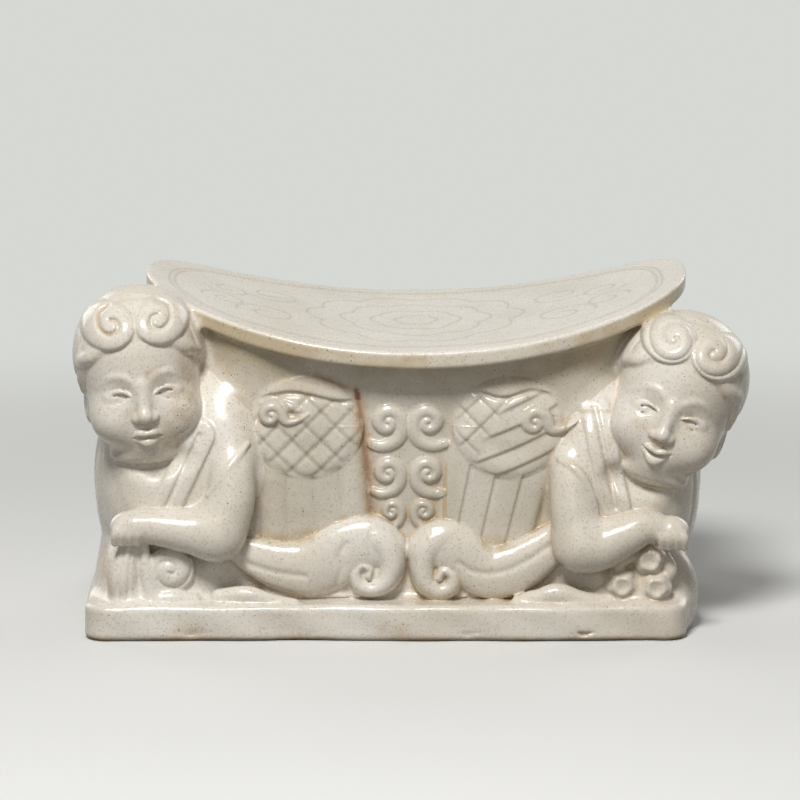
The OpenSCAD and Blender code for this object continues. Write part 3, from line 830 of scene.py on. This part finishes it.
def wing_scroll(block, who):
    x, z = across(block)
    cx, _, cz = middle(who.name + "_wing_scroll")
    shift_x, shift_z, size = SCROLL[who]
    share, tall = curl(x, z, (cx + shift_x, cz + shift_z), size, -1, SCROLL_TAIL)
    height = np.where(share < 1, 3.6 + 2.0 * tall * dome(share, 1.0, 0.6), -3)
    return relief(block, height)


# Paired cloud scrolls down the middle, on a low panel: height up, place out and size of each pair
CLOUDS = ((77.6, 7.2, 7.0), (59.2, 7.2, 6.2), (45.2, 5.8, 4.8))
CLOUD_TAIL = ((0.68, -0.55, 0.38, 1.0), (0.34, -1.02, 0.36, 0.9), (-0.30, -1.25, 0.30, 0.8),
              (-0.85, -1.12, 0.20, 0.5))


def cloud_scrolls(block):
    x, z = across(block)
    panel_w = 12.6 - 0.11 * np.maximum(80 - z, 0)
    panel = np.maximum(np.abs(x) / panel_w, np.abs(z - 60) / 27)
    height = dome(panel, 0.3, 0.3)
    for row_z, out, size in CLOUDS:
        for side in (-1, 1):
            share, tall = curl(x, z, (side * out, row_z), size, side, CLOUD_TAIL)
            height = np.maximum(height, 0.4 + 2.1 * tall * dome(share, 1.0, 0.65))
    return relief(block, height)


# Tails that sweep along the base and curl at the middle, as rows of across, up, radius and height: the body
# and the volute at its end. The volute winds round an eye, given by across, up and radius.
TAIL = {
    LEFT: [(-63, 32, 4.4, 4.5), (-55, 28.4, 7.0, 6.0), (-46, 25.4, 9.0, 7.2), (-37, 24.6, 10.2, 7.8),
           (-29, 27.4, 11, 8.0), (-21, 31.6, 11, 8.0), (-13.5, 33.6, 10.2, 7.8), (-8, 31.6, 8.0, 7.2)],
    RIGHT: [(61, 41, 4.8, 4.5), (53.5, 34.6, 6.6, 5.8), (46, 29, 8.4, 7.0), (38, 24.4, 9.6, 7.6),
            (30, 22.8, 9.4, 7.6), (23.6, 25.6, 9.4, 7.6), (17.5, 30.4, 9.8, 7.8), (11.5, 33, 9.4, 7.6),
            (7, 31, 8.0, 7.2)]}
VOLUTE = {
    LEFT: [(-22, 34.6, 6.0, 6.0), (-14, 35.8, 7.4, 7.8), (-8.2, 33, 7.0, 8.6), (-6.0, 27, 5.8, 8.8),
           (-7.6, 20.6, 4.9, 8.6), (-12.3, 17.6, 4.0, 8.2), (-17.2, 18.8, 3.6, 8.0), (-18.8, 23.2, 3.1, 7.8),
           (-16.6, 26.2, 2.6, 7.6), (-13.8, 24.8, 2.3, 7.6), (-14.2, 22.2, 2.2, 7.8)],
    RIGHT: [(20, 34, 6.0, 6.0), (13.4, 35.4, 7.2, 7.6), (7.4, 32.4, 7.0, 8.4), (5.4, 26.4, 5.6, 8.6),
            (6.6, 20, 5.0, 8.6), (10.8, 16.8, 4.6, 8.4), (15.4, 18.4, 4.2, 8.2), (16, 22.6, 3.5, 8.0),
            (12.8, 24.4, 2.8, 7.8), (11, 21.6, 2.6, 7.8)]}
VOLUTE_EYE = {LEFT: (-13.5, 22.4, 8.6), RIGHT: (10.8, 20.4, 8.4)}
TAIL_GROOVES = {
    LEFT: ([(-22, 34.5), (-24.6, 30.5), (-24.0, 25.4), (-26, 18)], [(-60, 27.6), (-49, 24.2), (-37, 22.6)]),
    RIGHT: ([(18.5, 27.5), (23, 24.6), (29, 23.6), (36.4, 25), (44, 28.9), (53, 35)],)}


def tail(block, who):
    x, z = across(block)
    share, high = strand(x, z, TAIL[who])
    height = dome(share, 1.0, 0.3) * high
    for groove in TAIL_GROOVES[who]:
        cut, _ = strand(x, z, [(across_x, up_z, 1.0, 0.0) for across_x, up_z in groove])
        height = height - 0.6 * bell(cut, 1.3)
    share, high = strand(x, z, VOLUTE[who])
    height = np.maximum(height, dome(share, 1.0, 0.5) * high)
    eye_x, eye_z, eye_r = VOLUTE_EYE[who]
    height = np.maximum(height, dome(np.hypot(x - eye_x, z - eye_z) / eye_r, 5.6, 0.35))
    return relief(block, height)


# Low leaves on the ledge, the sash under the left hand and the blossoms under the right one
LEAF = {
    LEFT: [(-68, -50, 15, 2.8), (-58, -51.5, 16, 3.2), (-49, -52, 14, 2.4), (-41, -52, 13, 1.6)],
    RIGHT: [(40, -51, 13.4, 2.0), (47, -51.5, 15, 3.0), (54, -51.5, 16.4, 3.8), (62, -51.5, 14.4, 3.2),
            (72, -51, 13, 2.2)]}


def leaf_sprig(block, who):
    clay = Sculpt(block)
    clay.roll(LEAF[who], soft=0.5)
    return clay.field


def left_sash_end(block):
    clay = Sculpt(block)
    broad = [(-98.5, -50, 38, 3.0), (-101, -50.2, 30, 4.6), (-102.6, -49.8, 22, 6.0), (-102.4, -49, 16, 5.4)]
    narrow = [(-95, -51, 37, 1.8), (-94.4, -51.8, 26, 2.4), (-92, -51.6, 15, 2.6)]
    clay.roll(broad, soft=1)
    clay.roll(narrow, soft=1.6)
    for fold_x, spread in ((-99.4, 1.5), (-102.4, 4.0)):
        fold = [(fold_x, -54.6, 31, 0.4), (fold_x - 0.4 * spread, -55.8, 23, 0.7),
                (fold_x - 0.5 * spread, -54.4, 15, 0.8)]
        clay.roll(fold, soft=0.8, cut=True)
    return clay.field


def left_sash_curl(block):
    x, y, z = block.points()
    cx, cz, size = -85.6, 25.0, 8.6
    a = x - cx
    b = z - cz
    shape = ellipsoid(x, y, z, (cx, -49.6, cz), (size, 4.6, size))
    rolls = coil(a, b, 5.4, -1, 0.4)
    clay = Sculpt(block, field=shape - 0.9 * (rolls - 0.6))
    clay.roll([(-93, -51, 14.0, 2.2), (-85, -52, 14.8, 2.4), (-77, -51, 13.8, 2.0)], soft=1.6)
    return clay.field


# Blossoms: across, up and radius
BLOSSOMS = ((86.8, 28.8, 5.9), (77.0, 19.6, 5.6), (89.2, 18.8, 5.8))


def right_blossoms(block):
    """Three round blossoms with a pressed eye and soft petals, and two buds."""
    x, y, z = block.points()
    clay = Sculpt(block)
    for cx, cz, size in BLOSSOMS:
        a = x - cx
        b = z - cz
        reach = np.hypot(a, b)
        petals = 0.28 * np.cos(5 * np.arctan2(b, a) + cx) * ramp(0.3 * size, 0.8 * size, reach)
        ring = 0.7 * bell(reach - 0.55 * size, 0.18 * size) - 0.8 * bell(reach, 0.3 * size)
        shape = ellipsoid(x, y, z, (cx, -50.6, cz), (size, 4.4, size)) - petals - ring
        clay.field = join(clay.field, shape, 1.0).astype(np.float32)
    clay.roll([(93, -49.5, 30, 1.6), (94.4, -50, 25, 2.6), (93.5, -49.5, 21, 1.6)], soft=1)
    clay.roll([(81, -50.0, 30, 2.0), (76.5, -50.0, 27, 2.2), (73, -49.5, 20, 2.0)], soft=1)
    return clay.field


# Every piece: its shape, the fillet where it joins what comes before it, its sample spacing and its box
PIECES = {}

# Rounding of a seam between pieces, the gap under all but the base, and the span of a glaze hollow
seam_fall = 0.2
foot_gap = 0.6
hollow_span = 1.9


def piece(name, shape, soft, step, spare=4.0):
    low, high = node_box(name)
    PIECES[name] = (shape, soft, step * COARSE, low - spare, high + spare)


def both_figures(name, shape, soft, step, spare=4.0):
    for who in (LEFT, RIGHT):
        piece(who.name + "_" + name, partial(shape, who=who), soft, step, spare)


piece("base_slab", base_slab, 0.5, 0.8)
piece("front_wall", front_wall, 0.3, 0.5)
piece("back_wall", back_wall, 0.3, 0.8)
both_figures("end_wall", end_wall, 0.3, 0.9)
piece("headrest_collar", headrest_collar, 0.3, 0.7, 8.0)
piece("headrest_slab", headrest_slab, 3.0, 0.42)
both_figures("torso", torso, 6.0, 0.66, 16.0)
both_figures("hair", hair, 3.5, 0.4)
both_figures("head", head, 1.0, 0.36)
both_figures("forelocks", forelocks, 0.6, 0.36)
both_figures("arm", arm, 2.0, 0.45)
both_figures("hand", hand, 1.2, 0.4, 6.0)
both_figures("robe_bands", robe_bands, 0.8, 0.45, 14.0)
both_figures("wing_feathers", wing_feathers, 1.0, 0.42)
both_figures("wing_shoulder", wing_shoulder, 0.8, 0.4)
both_figures("wing_scroll", wing_scroll, 0.5, 0.36)
piece("cloud_scrolls", cloud_scrolls, 2.2, 0.4, 7.0)
both_figures("tail", tail, 1.6, 0.42)
both_figures("leaf_sprig", leaf_sprig, 2.5, 0.4, 10.0)
piece("left_sash_end", left_sash_end, 2.0, 0.4, 7.0)
piece("left_sash_curl", left_sash_curl, 1.6, 0.4, 7.0)
piece("right_blossoms", right_blossoms, 1.4, 0.4, 9.0)


def hand_made(block):
    """Slow unevenness of hand-pressed clay under a thick glaze."""
    x, y, z = block.points()
    slow = np.sin(x / 17 + 1.3) * np.sin(z / 13 + y / 29) + np.sin(x / 9.1 + z / 11.3) * np.sin(y / 8.3 + 0.7)
    return 0.16 * slow


def clay_round(name):
    """The piece's own share of the joined clay, on its own sample points."""
    step, low, high = PIECES[name][2:]
    block = Block(*[np.arange(a, b + step, step, dtype=np.float32) for a, b in zip(low, high)])
    joined = block.full(FAR)
    others = block.full(FAR)
    own = block.full(FAR)
    for other, (other_shape, other_soft, _, other_low, other_high) in PIECES.items():
        spans = block.window(other_low - margin, other_high + margin)
        if spans is None:
            continue
        field = other_shape(block.cut(spans))
        joined[spans] = join(joined[spans], field, other_soft)
        if other == name:
            own[spans] = field
        else:
            others[spans] = np.minimum(others[spans], field)
    joined += hand_made(block)
    under = np.maximum((own - others) / 2, 0)
    field = np.maximum(joined + seam_fall * under ** 2, own - root)
    field = np.maximum(field, (0 if name == "base_slab" else foot_gap) - block.points()[2])
    for axis in range(3):
        layers = np.moveaxis(field, axis, 0)
        layers[[0, -1]] = np.maximum(layers[[0, -1]], step)
    return block, joined, field


def hollowness(joined, step):
    """How far a place lies in a hollow of the joined surface, from its mean curvature."""
    reach = max(1, int(round(hollow_span / step)))
    spread = np.zeros_like(joined)
    for axis in range(3):
        spread += np.roll(joined, reach, axis) + np.roll(joined, -reach, axis)
    return (6 * joined - spread) / (reach * step) ** 2


def sample(values, at):
    """Values of a block at index coordinates, linearly between its samples."""
    low = np.clip(np.floor(at).astype(int), 0, np.array(values.shape) - 2)
    part = at - low
    total = 0
    for corner in np.ndindex(2, 2, 2):
        weight = np.prod(np.abs(1 - np.array(corner) - part), axis=1)
        total = total + weight * values[tuple((low + corner).T)]
    return total


# Stains on the front: runs of across, up and radius, and a strength. Rust is from iron, tan from thick glaze;
# under the headrest's lip the tan is also painted shade.
RUST = (([(-18.5, 89.2, 1.3), (-18.1, 87.6, 1.5), (-17.9, 86.2, 1.2)], 1.2),
        ([(-18.0, 86, 1.2), (-16.8, 78, 1.9), (-15.0, 65, 2.0), (-13.2, 46, 2.0)], 0.75),
        ([(-33, 95.2, 1.1), (-27, 92.6, 1.7), (-21.5, 89.6, 1.3)], 0.6))
TAN_AND_SHADE = (([(-77, 108, 4), (-79, 96, 4.5), (-80, 85, 5), (-86, 72, 5)], 1.1),
       ([(-91.6, 97, 1.6), (-88.5, 99, 1.5)], 1.0),
       ([(-99, 83, 2), (-95.5, 82.5, 2)], 0.8),
       ([(-66, 98, 5), (-60, 88, 5), (-58, 72, 4)], 0.6),
       ([(-17, 84, 3), (-15.4, 60, 3.8), (-13, 46, 3.4)], 0.8),
       ([(-53, 37, 2.4), (-46, 35.5, 2.8), (-36, 37, 2.4)], 1.4),
       ([(29, 34.5, 2.4), (34.5, 33.5, 2.8)], 1.4),
       ([(-110.5, 28, 2.6), (-109.5, 22, 3)], 1.0),
       # These two runs along the collar under the headrest's lip are brown glaze and painted shade.
       ([(30, 92, 4), (50, 96, 5), (64, 102, 6)], 1.0),
       ([(-66, 102, 5), (-50, 96, 5), (-34, 92, 4)], 0.8),
       ([(80.5, 80, 1.6), (84.5, 78.5, 1.8)], 0.8),
       ([(56, 76, 4), (70, 72, 4), (72, 50, 3)], 0.5),
       ([(-8, 4, 3), (-2, 3, 3.5)], 0.8),
       ([(-82, 3.5, 4), (-76, 3, 4)], 0.8))
# Pieces that lie back between the figures, on which shade is painted below the headrest
SHADE_PAINTED_PIECES = ("front_wall", "headrest_collar", "cloud_scrolls", "left_wing", "right_wing")


def stained(x, z, runs):
    """How far each place is inside one of the runs."""
    most = np.zeros_like(x)
    for rows, strength in runs:
        near, _ = strand(x, z, [row + (0.0,) for row in rows], 3)
        most = np.maximum(most, strength * bell(near, 1.0))
    return most


def marks(name, places, drawn):
    """Where the glaze is stained: runs, the headrest's lip, cut lines and the bare foot; and painted shade on
    the sunk wall.
    """
    x, y, z = places.T
    front = ramp(-34, -41, y)
    sunk = np.zeros_like(x)
    # Painted shade: darker from 28 mm up, and darker still just under the headrest's overhang
    if name.startswith(SHADE_PAINTED_PIECES):
        overhang_shade = ramp(28, 46, z) + 0.9 * ramp(20, 8, saddle(x, y) - z)
        sunk = overhang_shade * ramp(90, 74, np.abs(x)) * ramp(-12, -30, y)
    lip = np.zeros_like(x)
    if name == "headrest_slab":
        lip = ramp(-3.5, -0.4, rest_plan(x, y)) * ramp(-0.6, -1.6, z - saddle(x, y))
    return {"rust": stained(x, z, RUST) * front, "tan": stained(x, z, TAN_AND_SHADE) * ramp(-10, -26, y), "sunk": sunk,
            "lip": lip, "drawn": drawn, "foot": ramp(2.6, 0.5, z)}


def shell_of(name):
    """Corner points, faces and glaze marks of a piece."""
    block, joined, field = clay_round(name)
    step = PIECES[name][2]
    grid = openvdb.FloatGrid()
    grid.background = 1.0
    grid.copyFromArray(field.astype(np.float32))
    points, quads = grid.convertToQuads(isovalue=0.0)
    hollow = sample(hollowness(joined, step), points.astype(np.float64))
    places = points * step + np.array((block.x[0], block.y[0], block.z[0]))
    drawn = np.zeros(len(places))
    if name == "headrest_slab":
        lines = np.repeat(drawing(block)[:, :, None] / line_deep, 2, axis=2)
        flat = np.column_stack((points[:, :2], np.zeros(len(points))))
        drawn = sample(lines, flat.astype(np.float64))
        drawn = drawn * (places[:, 2] > saddle(places[:, 0], places[:, 1]) - 1.5)
    return places, quads, {"pool": np.clip(hollow, -2, 2), **marks(name, places, drawn)}


def build(name, shell, material):
    places, quads, stains = shell
    mesh = bpy.data.meshes.new(name + "_glazed")
    mesh.vertices.add(len(places))
    mesh.vertices.foreach_set("co", (places * MM).astype(np.float32).ravel())
    mesh.loops.add(quads.size)
    mesh.loops.foreach_set("vertex_index", quads.astype(np.int32).ravel())
    mesh.polygons.add(len(quads))
    mesh.polygons.foreach_set("loop_start", np.arange(0, quads.size, 4, dtype=np.int32))
    mesh.update(calc_edges=True)
    mesh.validate()
    mesh.shade_smooth()
    for mark, values in stains.items():
        made = mesh.attributes.new(mark, "FLOAT", "POINT")
        made.data.foreach_set("value", values.astype(np.float32))
    mesh.materials.append(material)
    thing = bpy.data.objects.new(name + "_glazed", mesh)
    bpy.context.scene.collection.objects.link(thing)
    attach(thing, "root")
    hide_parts(name)


# Glaze and clay materials
def linear(red, green, blue):
    """A screen colour from 0 to 255 as the light it stands for."""
    shares = [c / 255 for c in (red, green, blue)]
    return tuple(((c + 0.055) / 1.055) ** 2.4 if c > 0.04 else c / 12.92 for c in shares) + (1.0,)


class Nodes:
    """Shading nodes of a material or the world, added one call at a time."""

    def __init__(self, owner):
        owner.use_nodes = True
        self.owner = owner
        self.tree = owner.node_tree

    def add(self, kind, settings=None, **inputs):
        made = self.tree.nodes.new("ShaderNode" + kind)
        for key, value in (settings or {}).items():
            setattr(made, key, value)
        for key, value in inputs.items():
            self.feed(made, key, value)
        return made

    def feed(self, made, key, value):
        numbered = key[0] == "i" and key[1:].isdigit()
        socket = made.inputs[int(key[1:]) if numbered else key.replace("_", " ")]
        if isinstance(value, bpy.types.NodeSocket):
            self.tree.links.new(value, socket)
        else:
            socket.default_value = value

    def math(self, operation, a, b=0.0, clamp=False):
        return self.add("Math", {"operation": operation, "use_clamp": clamp}, i0=a, i1=b).outputs[0]

    def curve(self, value, low, high, bottom=0.0, top=1.0):
        made = self.add("MapRange", {"interpolation_type": "SMOOTHSTEP"}, Value=value, From_Min=low,
                        From_Max=high, To_Min=bottom, To_Max=top)
        return made.outputs["Result"]

    def mix(self, share, a, b):
        return self.add("Mix", {"data_type": "RGBA"}, i0=share, i6=a, i7=b).outputs[2]

    def seen(self):
        """1 for the camera's rays and for mirrored ones, which both show the pale backdrop."""
        path = self.add("LightPath").outputs
        return self.math("MAXIMUM", path["Is Camera Ray"], path["Is Glossy Ray"])

    def blend(self, output, share, one, two):
        """Ends in a mix of two shaders."""
        made = self.add("MixShader", i0=share, i1=one.outputs[0], i2=two.outputs[0])
        self.feed(self.tree.nodes[output], "Surface", made.outputs[0])


class Shader(Nodes):
    """A new material round one main shader, with patterns placed on the part itself."""

    def __init__(self, name):
        super().__init__(bpy.data.materials.new(name))
        self.main = self.tree.nodes["Principled BSDF"]
        self.where = self.add("TexCoord").outputs["Object"]

    def noise(self, scale, detail, roughness=0.5, distortion=0.0):
        made = self.add("TexNoise", Vector=self.where, Scale=scale, Detail=detail, Roughness=roughness,
                        Distortion=distortion)
        return made.outputs["Fac"]

    def finish(self, colour, roughness):
        self.feed(self.main, "Base Color", colour)
        self.feed(self.main, "Roughness", roughness)

    def bumps(self, height, strength, depth):
        bump = self.add("Bump", Strength=strength, Distance=depth, Height=height)
        self.feed(self.main, "Normal", bump.outputs["Normal"])


# Iron specks: cells to the metre, size in the cell, least and most of them shown, colour and strength
SPECKS = ((420.0, 0.15, 0.02, 0.20, (92, 68, 48), 0.85), (900.0, 0.24, 0.08, 0.50, (122, 98, 72), 0.65))


def ivory_glaze():
    shader = Shader("ivory_glaze")
    stain = {}
    for mark in ("pool", "rust", "tan", "sunk", "lip", "drawn", "foot"):
        stain[mark] = shader.add("Attribute", {"attribute_name": mark}).outputs["Fac"]

    def broken(mark, *pattern):
        """A stain broken up by a pattern's curve."""
        return shader.math("MULTIPLY", stain[mark], shader.curve(*pattern), clamp=True)

    clouds = shader.noise(16.0, 4.0, 0.6)
    drift = shader.noise(34.0, 3.0, 0.6, 0.6)
    grain = shader.noise(240.0, 3.0, 0.65)
    fine = shader.noise(1100.0, 1.0)
    uneven = shader.math("MULTIPLY", shader.math("SUBTRACT", grain, 0.5), 0.7)
    sink = shader.curve(shader.math("ADD", stain["pool"], uneven), 0.05, 0.9, 0.0, 0.7)
    settled = shader.math("MULTIPLY", sink, shader.curve(drift, 0.38, 0.66, 0.1, 1.0))
    tan_and_shade = broken("tan", grain, 0.35, 0.7, 0.2, 0.62)
    coats = [(shader.curve(fine, 0.50, 0.78, 0.0, 0.45), (168, 152, 130)),
             # Painted shade on the sunk wall and under the headrest
             (broken("sunk", drift, 0.3, 0.7, 0.30, 0.55), (162, 152, 130)),
             # Glaze pooled in hollows, and the tan runs with their painted shade under the headrest
             (shader.math("MAXIMUM", settled, tan_and_shade), (176, 150, 110)),
             (broken("lip", drift, 0.34, 0.62, 0.3, 0.9), (184, 166, 134)),
             (shader.math("MULTIPLY", stain["drawn"], 0.42), (138, 124, 104))]
    crowded = shader.math("MULTIPLY", shader.math("ADD", stain["lip"], stain["tan"]), 0.6)
    for scale, size, least, most, tint, share in SPECKS:
        cells = shader.add("TexVoronoi", {"feature": "F1"}, Vector=shader.where, Scale=scale).outputs
        tone = shader.add("SeparateColor", Color=cells["Color"]).outputs[0]
        crowd = shader.math("ADD", shader.curve(drift, 0.38, 0.72, least, most), crowded)
        dot = shader.curve(cells["Distance"], size, 0.55 * size, 0.0, share)
        coats.append((shader.math("MULTIPLY", shader.math("LESS_THAN", tone, crowd), dot), tint))
    colour = shader.mix(shader.curve(clouds, 0.35, 0.68), linear(221, 215, 204), linear(208, 199, 183))
    for share, tint in coats:
        colour = shader.mix(share, colour, linear(*tint))
    rust = shader.mix(shader.curve(stain["rust"], 0.4, 0.9), linear(160, 122, 72), linear(120, 66, 40))
    colour = shader.mix(broken("rust", grain, 0.28, 0.55, 0.5, 1.0), colour, rust)
    bare = broken("foot", drift, 0.35, 0.6, 0.4, 0.95)
    dull = shader.math("MULTIPLY", bare, 0.5)
    rough = shader.math("ADD", shader.curve(grain, 0.3, 0.75, 0.17, 0.34), dull)
    shader.finish(shader.mix(bare, colour, linear(150, 122, 88)), rough)
    shader.feed(shader.main, "IOR", 1.5)
    texture = shader.math("ADD", shader.math("MULTIPLY", grain, 0.22), shader.math("MULTIPLY", fine, 0.05))
    shader.bumps(shader.math("ADD", shader.noise(95.0, 2.0), texture), 0.55, 0.0006)
    return shader.owner


def biscuit_clay():
    shader = Shader("biscuit_clay")
    grain = shader.noise(220.0, 5.0, 0.65)
    colour = shader.mix(shader.curve(grain, 0.35, 0.7), linear(196, 178, 150), linear(168, 146, 116))
    shader.finish(colour, shader.curve(grain, 0.3, 0.7, 0.75, 0.95))
    shader.bumps(grain, 0.5, 0.0008)
    return shader.owner


glaze = ivory_glaze()
clay = biscuit_clay()
with ThreadPoolExecutor(4) as crew:
    shells = dict(zip(PIECES, crew.map(shell_of, PIECES)))
for name in PIECES:
    build(name, shells[name], glaze)

coils = frame["nodes"]["inner_corner_coils"]
coils.data.materials.clear()
coils.data.materials.append(clay)


# Studio: floor, backdrop, lamps and camera, in metres and watts
backdrop = linear(214, 216, 212)
floor_half = 6.0
ambient = 0.08
lamp_aim = Vector((0, 0, 0.07))

# Each lamp's place, the width and height of its panel, and its power
LAMPS = {
    "key": ((-0.22, -0.94, 1.12), (0.34, 0.34), 19.5),
    "front": ((-0.15, -1.30, 0.42), (0.9, 0.6), 1.3),
    "fill": ((0.95, -0.60, 0.45), (0.8, 0.8), 0.5),
    "top": ((0.05, 0.20, 1.15), (0.7, 0.5), 0.9),
    "back_left": ((-1.00, 1.05, 0.60), (0.8, 0.8), 4.2),
    "back_right": ((1.00, 1.05, 0.60), (0.8, 0.8), 4.2),
}


def floor():
    """A floor that takes the shadow, fades into the backdrop further out and throws little light up."""
    shader = Shader("studio_floor")
    seen = shader.seen()
    pale = shader.mix(shader.noise(3.0, 2.0), linear(218, 218, 215), linear(222, 221, 218))
    shader.finish(shader.mix(seen, linear(130, 128, 124), pale), 0.9)
    away = shader.add("VectorMath", {"operation": "LENGTH"}, i0=shader.where).outputs["Value"]
    share = shader.math("MULTIPLY", shader.curve(away, 0.28, 0.75), seen)
    glow = shader.add("Emission", Color=backdrop, Strength=1.0)
    shader.blend("Material Output", share, shader.main, glow)
    corners = [(x * floor_half, y * floor_half, 0) for x, y in ((-1, -1), (1, -1), (1, 1), (-1, 1))]
    mesh = bpy.data.meshes.new("studio_floor")
    mesh.from_pydata(corners, [], [(0, 1, 2, 3)])
    mesh.materials.append(shader.owner)
    thing = bpy.data.objects.new("studio_floor", mesh)
    bpy.context.scene.collection.objects.link(thing)


def aimed(name, data, place, aim):
    """An object of the studio that looks from its place at its aim."""
    thing = bpy.data.objects.new(name, data)
    thing.location = place
    thing.rotation_euler = (aim - thing.location).to_track_quat("-Z", "Y").to_euler()
    bpy.context.scene.collection.objects.link(thing)
    return thing


def world():
    nodes = Nodes(bpy.data.worlds.new("studio"))
    soft = nodes.tree.nodes["Background"]
    nodes.feed(soft, "Color", linear(232, 232, 230))
    nodes.feed(soft, "Strength", ambient)
    pale = nodes.add("Background", Color=backdrop, Strength=1.0)
    nodes.blend("World Output", nodes.seen(), soft, pale)
    bpy.context.scene.world = nodes.owner


# Camera: the photograph's height above the level, distance and field of view
view_height = math.radians(9.0)
view_distance = 1.150
view_aim = Vector((-0.00286, -0.0500, 0.0866))
sensor = 36.0
lens = 144.9


def camera():
    made = bpy.data.cameras.new("camera")
    made.sensor_width = sensor
    made.lens = lens
    back_off = Vector((0, -math.cos(view_height), math.sin(view_height)))
    bpy.context.scene.camera = aimed("camera", made, view_aim + view_distance * back_off, view_aim)


floor()
world()
for name, (place, panel, power) in LAMPS.items():
    light = bpy.data.lights.new(name, "AREA")
    light.shape = "RECTANGLE"
    light.size, light.size_y = panel
    light.energy = power
    aimed(name, light, place, lamp_aim)
camera()
bpy.context.scene.view_settings.view_transform = "Standard"
